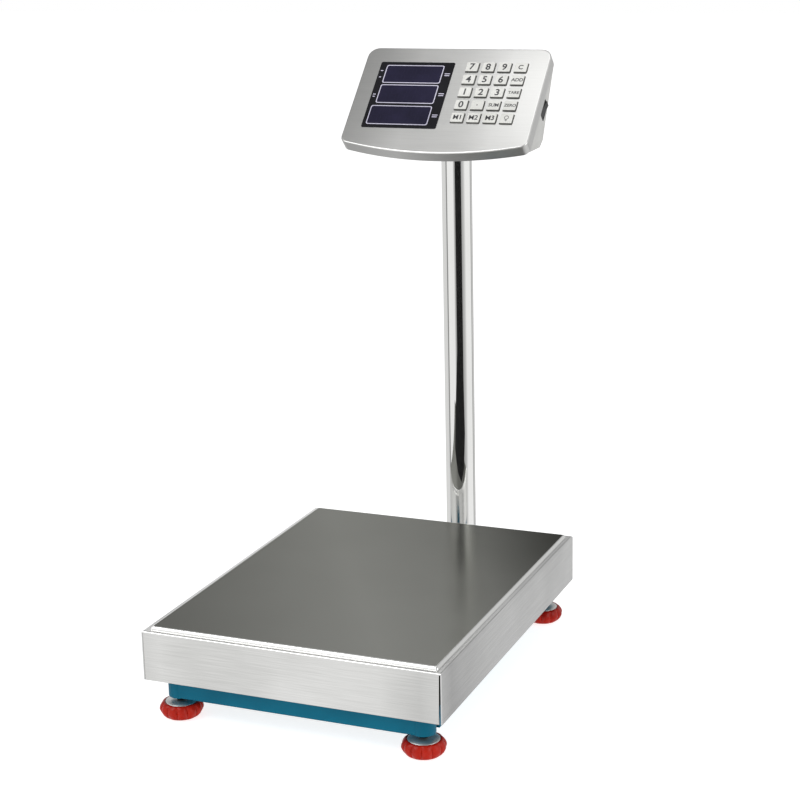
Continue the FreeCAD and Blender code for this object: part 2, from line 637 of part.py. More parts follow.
def screw_set(prefix):
    screws = []
    for i, (x, down) in enumerate(SCREW_SPOTS):
        seat = f"-{back_depth(down)} + 2"
        screws.append(fuse(f"{prefix}_{i}", [
            rod(f"{prefix}_head_{i}", "screw_head_radius", 4, (x, -down, f"{seat} - 4")),
            rod(f"{prefix}_shank_{i}", "screw_radius", 12, (x, -down, seat))]))
    return screws


def make_front_panel():
    outer = outline_solid("face_outer", 0, "-band_depth", "band_depth")
    inner = outline_solid("face_inner", value("sheet_thick"), "-band_depth - 1", "band_depth + 1 - sheet_thick")
    posts = [rod(f"face_post_{i}", "post_radius", f"{back_depth(down)} - 4.4 - sheet_thick",
                 (x, -down, f"-{back_depth(down)} + 4.4")) for i, (x, down) in enumerate(SCREW_SPOTS)]
    shell = fuse("face_with_posts", [cut("face_shell", outer, [inner]), *posts])
    tools = [key_block(f"{name}_hole", x, y, "key_gap", "-sheet_thick - 1", "sheet_thick + 2")
             for name, x, y in key_centres()]
    tools.append(box("window_hole", ("window_width + 0.2", "window_length + 0.2", "sheet_thick + 2"),
                     ("-window_width - 0.1", "-window_top - window_length - 0.1", "-sheet_thick - 1")))
    tools += screw_set("face_screw_hole")
    panel = cut("face", shell, tools)
    tilt_into_place(panel)
    node("front_panel", panel)


def make_rear_housing():
    wall_drop = "shell_wall * 1.05"
    outer_profile = [(-10, "shell_lip"), (-10, "back_start - 10 * back_slope"),
                     ("belly_s", "back_start + back_slope * belly_s"), ("chin_s", "chin_depth"),
                     ("heel_s", "heel_depth"), (175, "band_depth + 0.5"), (175, "shell_lip")]
    inner_profile = [(-12, "shell_lip - 3"), (-12, f"back_start - 12 * back_slope - {wall_drop}"),
                     ("belly_s - 0.6", f"back_start + back_slope * belly_s - {wall_drop}"),
                     ("chin_s - 1.2", "chin_depth - 2.9"), ("heel_s - 0.8", "heel_depth - 2.8"),
                     (177, "band_depth + 0.5 - shell_wall"), (177, "shell_lip - 3")]
    outer = common("housing_outer", profile_solid("housing_profile", outer_profile, "head_width"),
                   outline_solid("housing_outline", value("shell_inset"), -60, 60))
    inner = common("housing_inner", profile_solid("hollow_profile", inner_profile, "head_width"),
                   outline_solid("hollow_outline", value("shell_inset") + value("shell_wall"), -60, 60))
    lugs = []
    across, out = pivot_in_head()
    for i, x in enumerate(("-lug_inner - lug_thick", "lug_inner")):
        lugs.append(rod(f"lug_round_{i}", "lug_radius", "lug_thick", (x, across, out), (1, 0, 0)))
        lugs.append(box(f"lug_web_{i}", ("lug_thick", "2 * lug_radius", 24), (x, f"{across} - lug_radius", out)))
    blank = cut("housing_shell", fuse("housing_blank", [outer, *lugs]), [inner])
    tools = screw_set("housing_screw_hole")
    tools.append(rod("lug_bore", "pivot_radius", 80, (-40, across, out), (1, 0, 0)))
    tools.append(rod("housing_cable_hole", 9, 30, (0, -86, -60)))
    tools.append(rod("inlet_hole", "inlet_radius", 30, ("inlet_x", "-inlet_down", -60)))
    tools.append(box("switch_hole", (12, "2 * (rocker_half + rocker_room)", "rocker_width + 0.4"),
                     ("head_width / 2 - shell_inset - 6", "-rocker_down - rocker_half - rocker_room",
                      "-rocker_depth - rocker_width / 2 - 0.2")))
    tools.append(trunnion("switch_bearing", "trunnion_radius + stud_fit", "trunnion_reach + 0.3"))
    housing = cut("housing", blank, tools)
    tilt_into_place(housing)
    node("rear_housing", housing)


def pivot_in_head():
    """The tilt pivot in the face's own axes: up the slope, and out of the face."""
    across = "(pan_length + column_offset - head_setback)"
    rise = "(pivot_level - head_level)"
    return (f"{across} * cos(head_tilt * 1deg) + {rise} * sin(head_tilt * 1deg)",
            f"-{across} * sin(head_tilt * 1deg) + {rise} * cos(head_tilt * 1deg)")


def tilted_node(label, *pieces):
    item = group(f"{label}_set", list(pieces))
    tilt_into_place(item)
    node(label, item)


def make_head_fittings():
    tilted_node("display_window", box("window", ("window_width", "window_length", "window_thick"),
                                      ("-window_width", "-window_top - window_length",
                                       "window_proud - window_thick")))
    rows = [box(f"display_row_{i}", ("row_length", "row_tall", "board_depth + window_proud - window_thick"),
                ("-window_width + 6", f"-window_top - {down}", "-board_depth")) for i, down in enumerate((33, 65, 97))]
    tilted_node("display_modules", *rows)
    tilted_node("main_board", box("board", ("board_length", "board_width", "board_thick"),
                                  ("-board_length / 2", -137, "-board_depth - board_thick")))
    tilted_node("battery", box("battery_pack", ("battery_length", "battery_width", "battery_thick"),
                               (-85, -112, -36)))
    tilted_node("charging_inlet", inlet_shape())
    tilted_node("housing_screws", *screw_set("housing_screw"))
    knobs = []
    for side, way in ((-1, (-1, 0, 0)), (1, (1, 0, 0))):
        stem = rod(f"pivot_stem_{side + 1}", "pivot_radius", "stem_length",
                   (f"({side}) * (lug_inner + 0.5)", *pivot_in_head()), way)
        grip = rod(f"pivot_grip_{side + 1}", "grip_radius", "grip_thick",
                   (f"({side}) * (yoke_half + grip_gap)", *pivot_in_head()), way)
        knobs.append(fuse(f"pivot_knob_{side + 1}", [stem, grip]))
    tilted_node("pivot_knobs", *knobs)


def inlet_shape():
    """Round charging inlet: a barrel through the housing, a collar outside it and a centre pin."""
    seat = back_depth("inlet_down")
    x, y = "inlet_x", "-inlet_down"
    barrel = rod("inlet_barrel", "inlet_radius", 17, (x, y, f"-{seat} - 3.5"))
    collar = rod("inlet_collar", "collar_radius", "collar_thick", (x, y, f"-{seat} - 3 - collar_thick"))
    shell = cut("inlet_shell", fuse("inlet_blank", [barrel, collar]),
                [rod("inlet_socket", "socket_bore", 12, (x, y, f"-{seat} - 5"))])
    return fuse("inlet", [shell, rod("inlet_pin", "pin_radius", 10, (x, y, f"-{seat} - 2"))])


def make_keys():
    for name, x, y in key_centres():
        cap = key_block(f"{name}_cap", x, y, 0, "-key_sink", "key_sink + key_rise")
        rim = key_block(f"{name}_rim", x, y, 1, -3.2, 1.2)
        tilted_node(name, fuse(f"{name}_part", [cap, rim]))


ROCKER_X = "head_width / 2 - shell_inset - shell_wall / 2"


def trunnion(name, radius, reach):
    """Round pin along the switch's axis, reaching out past both sides of its cap."""
    return rod(name, radius, f"rocker_width + 2 * ({reach})",
               (ROCKER_X, "-rocker_down", f"-rocker_depth - rocker_width / 2 - ({reach})"))


def make_rocker():
    """Rocker cap on the right side; its near end is pressed in at rest."""
    middle_x = value("head_width") / 2 - value("shell_inset") - value("shell_wall") / 2
    half = value("rocker_half")
    profile = [(-3.5, -half + 1), (1.2, -half), (1.9, 0), (3.7, half - 0.6), (-2.0, half - 0.6)]
    low = -value("rocker_depth") - value("rocker_width") / 2
    corners = [FreeCAD.Vector(middle_x + out, along - value("rocker_down"), low) for out, along in profile]
    blade = doc.addObject("Part::Feature", "rocker_blade")
    face = Part.Face(Part.makePolygon([*corners, corners[0]]))
    blade.Shape = face.extrude(FreeCAD.Vector(0, 0, value("rocker_width")))
    pin = trunnion("rocker_trunnion", "trunnion_radius", "trunnion_reach")
    tilted_node("switch_rocker", fuse("rocker", [blade, pin]))


# ---------------------------------------------------------------- build, check, write

def check_and_write():
    doc.recompute()
    for item in doc.Objects:
        if "Invalid" in item.State or "Error" in item.State:
            raise ValueError(f"{item.Name} failed to recompute")
    for item in nodes:
        if item.Shape.isNull() or not item.Shape.isValid():
            raise ValueError(f"{item.Label} has a bad shape")
    os.makedirs("parts", exist_ok=True)
    whole = FreeCAD.BoundBox()
    for item in nodes:
        item.Shape.exportStep(f"parts/{item.Label}.step")
        whole.add(item.Shape.BoundBox)
    print(len(nodes), "nodes", whole)


fill_sheet()
make_pan()
make_base_frame()
make_feet()
make_load_cell()
make_load_frame()
make_column()
make_yoke()
make_signal_cable()
make_front_panel()
make_rear_housing()
make_head_fittings()
make_keys()
make_rocker()
check_and_write()
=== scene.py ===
import json
import math

import bmesh
import bpy
from mathutils import Matrix, Vector


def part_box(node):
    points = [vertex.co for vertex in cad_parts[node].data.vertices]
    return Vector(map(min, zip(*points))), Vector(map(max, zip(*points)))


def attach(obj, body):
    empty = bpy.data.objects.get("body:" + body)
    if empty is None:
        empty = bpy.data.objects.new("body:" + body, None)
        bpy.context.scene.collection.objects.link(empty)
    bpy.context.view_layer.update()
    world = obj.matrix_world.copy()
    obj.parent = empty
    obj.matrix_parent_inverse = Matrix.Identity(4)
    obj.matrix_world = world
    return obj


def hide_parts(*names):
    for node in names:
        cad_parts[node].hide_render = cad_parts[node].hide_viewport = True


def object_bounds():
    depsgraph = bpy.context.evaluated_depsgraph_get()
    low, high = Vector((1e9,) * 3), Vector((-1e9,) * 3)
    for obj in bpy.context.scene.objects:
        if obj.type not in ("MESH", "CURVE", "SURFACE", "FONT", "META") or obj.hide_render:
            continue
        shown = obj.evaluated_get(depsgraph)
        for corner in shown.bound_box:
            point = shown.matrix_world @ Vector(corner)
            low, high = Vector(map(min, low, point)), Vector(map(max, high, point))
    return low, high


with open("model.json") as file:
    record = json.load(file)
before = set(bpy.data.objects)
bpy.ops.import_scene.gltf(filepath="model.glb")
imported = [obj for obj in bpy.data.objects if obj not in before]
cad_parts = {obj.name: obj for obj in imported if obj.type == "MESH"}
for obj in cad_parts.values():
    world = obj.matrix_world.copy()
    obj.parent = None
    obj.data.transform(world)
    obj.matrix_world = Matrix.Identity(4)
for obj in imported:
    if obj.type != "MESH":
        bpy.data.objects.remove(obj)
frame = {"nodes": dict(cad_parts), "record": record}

MM = 0.001
cad_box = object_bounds()
scene = bpy.context.scene

# ---------------------------------------------------------------- places read from the frame

behaviour = frame["record"]["behaviour"]
joints = {joint["name"]: joint for joint in behaviour["joints"]}
body_of_node = {node: body for body, held in behaviour["bodies"].items() for node in held}
CORNERS = ("front_left", "front_right", "rear_left", "rear_right")

BAND_DEPTH = 16 * MM
inward = Vector(joints["key_5_press"]["axis"]).normalized()
tilt = math.atan2(inward.y, -inward.z)
panel_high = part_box("front_panel")[1]
head_origin = Vector((0, panel_high.y - BAND_DEPTH * math.sin(tilt), panel_high.z))
head_matrix = Matrix.Translation(head_origin) @ Matrix.Rotation(tilt, 4, "X")


def middle(node):
    low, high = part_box(node)
    return (low + high) / 2


# ---------------------------------------------------------------- camera, light and floor

CAMERA_PLACE = Vector((818.2, -1915.8, 865.0)) * MM
CAMERA_YAW = math.radians(22.63)
CAMERA_PITCH = math.radians(15.01)
CAMERA_ROLL = math.radians(-1.26)
CAMERA_LENS = 83.84


def make_camera():
    data = bpy.data.cameras.new("camera")
    data.lens = CAMERA_LENS
    data.sensor_width = 36
    camera = bpy.data.objects.new("camera", data)
    scene.collection.objects.link(camera)
    turn = Matrix.Rotation(CAMERA_YAW, 4, "Z") @ Matrix.Rotation(math.pi / 2 - CAMERA_PITCH, 4, "X")
    camera.matrix_world = Matrix.Translation(CAMERA_PLACE) @ turn @ Matrix.Rotation(CAMERA_ROLL, 4, "Z")
    scene.camera = camera


def area_light(name, place, aim, size, watts):
    data = bpy.data.lights.new(name, "AREA")
    data.shape = "RECTANGLE"
    data.size, data.size_y = size
    data.energy = watts
    lamp = bpy.data.objects.new(name, data)
    lamp.location = place
    lamp.rotation_euler = (Vector(aim) - Vector(place)).to_track_quat("-Z", "Y").to_euler()
    scene.collection.objects.link(lamp)


def grey_or_colour(value):
    return (*value, 1.0) if isinstance(value, tuple) else (value, value, value, 1.0)


def ramp_node(nodes, links, source, stops):
    """Colour ramp on a number; a stop is a place and a grey or a colour."""
    ramp = nodes.new("ShaderNodeValToRGB")
    elements = ramp.color_ramp.elements
    while len(elements) > 1:
        elements.remove(elements[-1])
    elements[0].position = stops[0][0]
    elements[0].color = grey_or_colour(stops[0][1])
    for place, colour in stops[1:]:
        elements.new(place).color = grey_or_colour(colour)
    links.new(source, ramp.inputs[0])
    return ramp.outputs[0]


def span_node(nodes, links, source, low, high, to_low=0.0, to_high=1.0):
    """Number moved from one span to another and held inside it."""
    span = nodes.new("ShaderNodeMapRange")
    span.inputs["From Min"].default_value = low
    span.inputs["From Max"].default_value = high
    span.inputs["To Min"].default_value = to_low
    span.inputs["To Max"].default_value = to_high
    links.new(source, span.inputs["Value"])
    return span.outputs[0]


def multiply(nodes, links, first, second):
    mix = nodes.new("ShaderNodeMix")
    mix.data_type = "RGBA"
    mix.blend_type = "MULTIPLY"
    mix.inputs["Factor"].default_value = 1.0
    links.new(first, mix.inputs["A"])
    links.new(second, mix.inputs["B"])
    return mix.outputs["Result"]


# brightness round the walls, below and above the horizon, from -X (0) through -Y (0.25), +X (0.5)
# and +Y (0.75) to -X again
LOW_WALL_STOPS = [(0.0, 0.80), (0.045, 0.80), (0.055, 0.30), (0.078, 0.30), (0.090, 1.0),
                  (0.226, 1.0), (0.25, 0.42), (0.40, 0.42), (0.45, 0.65), (0.485, 1.0), (0.632, 1.0),
                  (0.642, 0.25), (0.652, 0.25), (0.662, 0.62), (0.72, 0.72), (0.765, 0.30), (0.79, 0.34),
                  (0.818, 1.0), (0.84, 0.85), (0.90, 0.80), (1.0, 0.80)]
HIGH_WALL_STOPS = [(0.0, 0.55), (0.03, 0.75), (0.045, 1.0), (0.20, 1.0), (0.25, 0.62), (0.40, 0.70),
                   (0.485, 1.0), (0.632, 1.0), (0.662, 0.62), (0.72, 0.72), (0.765, 0.30), (0.79, 0.34),
                   (0.818, 1.0), (0.84, 0.85), (0.90, 0.45), (1.0, 0.55)]
# brightness from straight down (0) to straight up (1)
CEILING_STOPS = [(0.0, 0.16), (0.03, 0.30), (0.05, 0.60), (0.12, 0.80), (0.27, 0.95), (0.34, 1.0),
                 (0.70, 1.0), (0.84, 0.75), (0.93, 0.50), (1.0, 0.62)]
# heights of a direction between which the low walls give way to the high ones
WALL_CHANGE = (-0.06, 0.10)
ROOM_STRENGTH = 0.95


def make_world():
    """A white studio whose walls hold soft dark panels, so that polished metal shows upright bands."""
    world = bpy.data.worlds.new("studio")
    scene.world = world
    world.use_nodes = True
    nodes, links = world.node_tree.nodes, world.node_tree.links
    nodes.clear()
    coord = nodes.new("ShaderNodeTexCoord")
    axes = nodes.new("ShaderNodeSeparateXYZ")
    links.new(coord.outputs["Generated"], axes.inputs[0])
    angle = nodes.new("ShaderNodeMath")
    angle.operation = "ARCTAN2"
    links.new(axes.outputs["Y"], angle.inputs[0])
    links.new(axes.outputs["X"], angle.inputs[1])
    turn = span_node(nodes, links, angle.outputs[0], -math.pi, math.pi)
    height = span_node(nodes, links, axes.outputs["Z"], -1.0, 1.0)
    walls = nodes.new("ShaderNodeMix")
    walls.data_type = "RGBA"
    links.new(span_node(nodes, links, axes.outputs["Z"], *WALL_CHANGE), walls.inputs["Factor"])
    links.new(ramp_node(nodes, links, turn, LOW_WALL_STOPS), walls.inputs["A"])
    links.new(ramp_node(nodes, links, turn, HIGH_WALL_STOPS), walls.inputs["B"])
    ceiling = ramp_node(nodes, links, height, CEILING_STOPS)
    room = nodes.new("ShaderNodeBackground")
    room.inputs["Strength"].default_value = ROOM_STRENGTH
    links.new(multiply(nodes, links, walls.outputs["Result"], ceiling), room.inputs["Color"])
    backdrop = nodes.new("ShaderNodeBackground")
    backdrop.inputs["Color"].default_value = (1, 1, 1, 1)
    seen = nodes.new("ShaderNodeLightPath")
    choose = nodes.new("ShaderNodeMixShader")
    links.new(seen.outputs["Is Camera Ray"], choose.inputs[0])
    links.new(room.outputs[0], choose.inputs[1])
    links.new(backdrop.outputs[0], choose.inputs[2])
    output = nodes.new("ShaderNodeOutputWorld")
    links.new(choose.outputs[0], output.inputs[0])


FLAG_AWAY = 40 * MM
FLAG_SEEN_WITHIN = 36 * MM
FLAG_LEFT = -9.5 * MM
FLAG_RIGHT = 17 * MM
# the card's rounded foot: places across it, and heights above the pan
FLAG_FOOT = [(FLAG_LEFT, 200 * MM), (3.0 * FLAG_LEFT, 67 * MM), (1.4 * FLAG_LEFT, 38 * MM),
             (0.1 * FLAG_RIGHT, 25 * MM), (0.8 * FLAG_RIGHT, 43 * MM), (1.25 * FLAG_RIGHT, 88 * MM),
             (FLAG_RIGHT, 162 * MM)]


def make_column_flag():
    """Black card close in front of the column, met only by the chrome's own reflections: its dark band."""
    pan_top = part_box("pan")[1].z
    column_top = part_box("column")[1].z
    foot = [(x, pan_top + height) for x, height in FLAG_FOOT]
    outline = [(FLAG_LEFT, column_top), *foot, (FLAG_RIGHT, column_top)]
    centre = middle("column")
    turn = Matrix.Rotation(CAMERA_YAW, 4, "Z")
    bm = bmesh.new()
    bm.faces.new([bm.verts.new(turn @ Vector((x, -FLAG_AWAY, z))) for x, z in outline])
    mesh = bpy.data.meshes.new("column_flag")
    bm.to_mesh(mesh)
    bm.free()
    flag = bpy.data.objects.new("column_flag", mesh)
    flag.location = (centre.x, centre.y, 0)
    flag.data.materials.append(flag_material())
    scene.collection.objects.link(flag)
    flag.visible_camera = False
    flag.visible_diffuse = False
    flag.visible_transmission = False
    flag.visible_shadow = False


# each light's place, aim, size in metres and watts
LIGHTS = {
    "key_light": ((-1.1, -1.5, 2.2), (0, 0, 0.3), (1.6, 1.6), 22),
    "fill_light": ((2.0, -0.6, 1.3), (0, 0, 0.3), (1.2, 1.8), 10),
    "head_light": ((0.12, 0.10, 1.30), (0.04, 0.18, 0.62), (0.46, 0.5), 1.0),
}
FLOOR_HALF = 12
FLOOR_GAP = 0.2 * MM


def make_floor():
    """Wide floor just under the feet, left out of mirrors so that polished faces show the room instead."""
    mesh = bpy.data.meshes.new("floor")
    bm = bmesh.new()
    bmesh.ops.create_grid(bm, x_segments=1, y_segments=1, size=FLOOR_HALF)
    bm.to_mesh(mesh)
    bm.free()
    floor = bpy.data.objects.new("floor", mesh)
    floor.location.z = cad_box[0].z - FLOOR_GAP
    scene.collection.objects.link(floor)
    floor.data.materials.append(floor_material())
    floor.visible_glossy = False


def make_stage():
    make_camera()
    make_world()
    make_column_flag()
    for name, (place, aim, size, watts) in LIGHTS.items():
        area_light(name, place, aim, size, watts)
    make_floor()
    scene.view_settings.view_transform = "Standard"


# ---------------------------------------------------------------- materials

def new_material(name, base, metallic, roughness, **sockets):
    material = bpy.data.materials.new(name)
    material.use_nodes = True
    shader = material.node_tree.nodes["Principled BSDF"]
    shader.inputs["Base Color"].default_value = (*base, 1)
    shader.inputs["Metallic"].default_value = metallic
    shader.inputs["Roughness"].default_value = roughness
    for socket, number in sockets.items():
        shader.inputs[socket.replace("_", " ")].default_value = number
    return material, material.node_tree.nodes, material.node_tree.links, shader


def noise_node(nodes, links, scale, detail=4.0, stretch=(1, 1, 1)):
    coord = nodes.new("ShaderNodeTexCoord")
    mapping = nodes.new("ShaderNodeMapping")
    mapping.inputs["Scale"].default_value = stretch
    noise = nodes.new("ShaderNodeTexNoise")
    noise.inputs["Scale"].default_value = scale
    noise.inputs["Detail"].default_value = detail
    links.new(coord.outputs["Object"], mapping.inputs["Vector"])
    links.new(mapping.outputs[0], noise.inputs["Vector"])
    return noise


NOISE_LOW = 0.3
NOISE_HIGH = 0.7


def vary_colour(nodes, links, shader, noise, dark, light):
    colour = ramp_node(nodes, links, noise.outputs["Fac"], [(NOISE_LOW, dark), (NOISE_HIGH, light)])
    links.new(colour, shader.inputs["Base Color"])


def vary_roughness(nodes, links, shader, noise, low, high):
    rough = span_node(nodes, links, noise.outputs["Fac"], NOISE_LOW, NOISE_HIGH, low, high)
    links.new(rough, shader.inputs["Roughness"])


def add_bump(nodes, links, shader, height, strength, distance):
    bump = nodes.new("ShaderNodeBump")
    bump.inputs["Strength"].default_value = strength
    bump.inputs["Distance"].default_value = distance
    links.new(height, bump.inputs["Height"])
    links.new(bump.outputs[0], shader.inputs["Normal"])


def floor_material():
    """White paper that glows a little, so that only the shade right under the object shows."""
    material, nodes, links, shader = new_material("floor_white", (0.93, 0.93, 0.93), 0, 0.9,
                                                  Emission_Strength=0.80)
    shader.inputs["Emission Color"].default_value = (1, 1, 1, 1)
    grain = noise_node(nodes, links, 3)
    vary_colour(nodes, links, shader, grain, 0.60, 0.62)
    return material


def flag_material():
    """Black cloth that is there for short rays only, so that no face but the nearby column's mirrors it."""
    material, nodes, links, shader = new_material("flag_cloth", (0.012, 0.012, 0.012), 0, 0.9)
    weave = noise_node(nodes, links, 400)
    vary_colour(nodes, links, shader, weave, 0.008, 0.016)
    path = nodes.new("ShaderNodeLightPath")
    near = nodes.new("ShaderNodeMath")
    near.operation = "LESS_THAN"
    near.inputs[1].default_value = FLAG_SEEN_WITHIN
    links.new(path.outputs["Ray Length"], near.inputs[0])
    clear = nodes.new("ShaderNodeBsdfTransparent")
    choose = nodes.new("ShaderNodeMixShader")
    links.new(near.outputs[0], choose.inputs[0])
    links.new(clear.outputs[0], choose.inputs[1])
    links.new(shader.outputs[0], choose.inputs[2])
    links.new(choose.outputs[0], nodes["Material Output"].inputs["Surface"])
    return material


def shade_along(nodes, links, direction, reach, stops):
    """Ramp of painted shade along a direction of the object's own axes, from -reach to +reach."""
    coord = nodes.new("ShaderNodeTexCoord")
    place = nodes.new("ShaderNodeVectorMath")
    place.operation = "DOT_PRODUCT"
    place.inputs[1].default_value = direction
    links.new(coord.outputs["Object"], place.inputs[0])
    return ramp_node(nodes, links, span_node(nodes, links, place.outputs["Value"], -reach, reach), stops)


def brushed(name, dark, light, along, rough=(0.20, 0.27), bump=0.012, shade=None):
    """Brushed steel: fine scratches along one axis over slow clouds; shade, a ramp of painted shade, is
    passed on to shade_along.
    """
    material, nodes, links, shader = new_material(name, light, 1.0, sum(rough) / 2)
    stretch = [1.0, 1.0, 1.0]
    stretch[along] = 0.02
    lines = noise_node(nodes, links, 900, 3, stretch)
    clouds = noise_node(nodes, links, 6, 3)
    blend = nodes.new("ShaderNodeMix")
    blend.data_type = "FLOAT"
    blend.inputs["Factor"].default_value = 0.6
    links.new(lines.outputs["Fac"], blend.inputs["A"])
    links.new(clouds.outputs["Fac"], blend.inputs["B"])
    colour = ramp_node(nodes, links, blend.outputs["Result"], [(0.35, dark), (0.65, light)])
    if shade:
        # painted shade multiplied into the steel's colour
        colour = multiply(nodes, links, colour, shade_along(nodes, links, *shade))
    links.new(colour, shader.inputs["Base Color"])
    vary_roughness(nodes, links, shader, lines, *rough)
    add_bump(nodes, links, shader, lines.outputs["Fac"], bump, 0.2 * MM)
    return material


PAN_SHADE_DIRECTION = (1.0, 0.6, 0.0)
PAN_SHADE_REACH = 0.34
# painted shade: greys from the front left corner (0) to the rear right one (1), darkest at both corners in
# place of the light the plate reflects
PAN_PAINTED_SHADE_GREYS = [(0.0, 0.20), (0.09, 0.22), (0.23, 0.27), (0.36, 0.32), (0.42, 0.35), (0.58, 0.34),
              (0.68, 0.32), (0.81, 0.17), (0.88, 0.11), (1.0, 0.09)]


def pan_painted_shade():
    """Dark grey top plate with painted shade, darker towards two opposite corners, and faint lengthwise
    lines.
    """
    material, nodes, links, shader = new_material("pan_painted_shade", (0.2, 0.2, 0.19), 1.0, 0.24)
    shader.inputs["Specular Tint"].default_value = (0.45, 0.45, 0.44, 1)
    lines = noise_node(nodes, links, 900, 3, (1.0, 0.02, 1.0))
    clouds = noise_node(nodes, links, 9, 4)
    colours = [(place, (grey, 1.01 * grey, 0.95 * grey)) for place, grey in PAN_PAINTED_SHADE_GREYS]
    # painted shade: the plate's grey falls towards its front left and rear right corners
    painted_corner_shade = shade_along(nodes, links, PAN_SHADE_DIRECTION, PAN_SHADE_REACH, colours)
    mottle = ramp_node(nodes, links, clouds.outputs["Fac"], [(NOISE_LOW, 0.92), (NOISE_HIGH, 1.0)])
    links.new(multiply(nodes, links, painted_corner_shade, mottle), shader.inputs["Base Color"])
    vary_roughness(nodes, links, shader, clouds, 0.19, 0.25)
    add_bump(nodes, links, shader, lines.outputs["Fac"], 0.01, 0.1 * MM)
    return material


def polished_chrome():
    material, nodes, links, shader = new_material("chrome_polish", (0.86, 0.86, 0.85), 1.0, 0.05)
    haze = noise_node(nodes, links, 25, 3, (1, 1, 0.15))
    vary_colour(nodes, links, shader, haze, (0.80, 0.80, 0.78), (0.90, 0.90, 0.89))
    vary_roughness(nodes, links, shader, haze, 0.03, 0.08)
    hairs = noise_node(nodes, links, 700, 2, (1, 1, 0.03))
    add_bump(nodes, links, shader, hairs.outputs["Fac"], 0.02, 0.1 * MM)
    return material


def enamel():
    material, nodes, links, shader = new_material("blue_enamel", (0.0, 0.13, 0.23), 0, 0.4,
                                                  Specular_IOR_Level=0.12)
    flow = noise_node(nodes, links, 18, 4)
    vary_colour(nodes, links, shader, flow, (0.0, 0.105, 0.175), (0.0, 0.14, 0.225))
    vary_roughness(nodes, links, shader, flow, 0.28, 0.42)
    peel = noise_node(nodes, links, 420, 3)
    add_bump(nodes, links, shader, peel.outputs["Fac"], 0.12, 0.25 * MM)
    return material


def moulded(name, dark, light, rough=(0.3, 0.45), grain=1200, bump=0.08, **sockets):
    """Moulded plastic or rubber: slight colour drift, fine grain."""
    material, nodes, links, shader = new_material(name, light, 0, sum(rough) / 2, **sockets)
    drift = noise_node(nodes, links, 30, 4)
    vary_colour(nodes, links, shader, drift, dark, light)
    vary_roughness(nodes, links, shader, drift, *rough)
    fine = noise_node(nodes, links, grain, 2)
    add_bump(nodes, links, shader, fine.outputs["Fac"], bump, 0.15 * MM)
    return material


def cast_metal(name, dark, light, rough):
    material, nodes, links, shader = new_material(name, light, 1.0, sum(rough) / 2)
    drift = noise_node(nodes, links, 60, 4)
    vary_colour(nodes, links, shader, drift, dark, light)
    vary_roughness(nodes, links, shader, drift, *rough)
    fine = noise_node(nodes, links, 500, 3)
    add_bump(nodes, links, shader, fine.outputs["Fac"], 0.06, 0.15 * MM)
    return material


def circuit_board():
    material, nodes, links, shader = new_material("board_mask", (0.03, 0.2, 0.07), 0, 0.35, Coat_Weight=0.3)
    coord = nodes.new("ShaderNodeTexCoord")
    tracks = nodes.new("ShaderNodeTexBrick")
    tracks.inputs["Scale"].default_value = 160
    tracks.inputs["Mortar Size"].default_value = 0.03
    tracks.inputs["Color1"].default_value = (0.02, 0.17, 0.06, 1)
    tracks.inputs["Color2"].default_value = (0.03, 0.20, 0.07, 1)
    tracks.inputs["Mortar"].default_value = (0.10, 0.32, 0.14, 1)
    links.new(coord.outputs["Object"], tracks.inputs["Vector"])
    links.new(tracks.outputs["Color"], shader.inputs["Base Color"])
    add_bump(nodes, links, shader, tracks.outputs["Fac"], 0.2, 0.05 * MM)
    return material


# painted shade along the skirts and the face, darker towards some ends and corners as the light falls on
# them: direction, reach and stops for the painted shade ramp along the object's axes
PAINTED_SHADE_X = ((1, 0, 0), cad_box[1].x, [(0.0, 0.90), (0.06, 1.0), (0.80, 1.0), (0.93, 0.84), (1.0, 0.92)])
PAINTED_SHADE_Y = ((0, 1, 0), cad_box[1].y, [(0.0, 0.98), (0.05, 0.74), (0.15, 0.84), (0.30, 1.0)])
PAINTED_SHADE_FACE = ((1, 0, 0), panel_high.x, [(0.0, 0.66), (0.12, 0.74), (0.32, 1.0), (0.8, 1.0), (1.0, 0.86)])

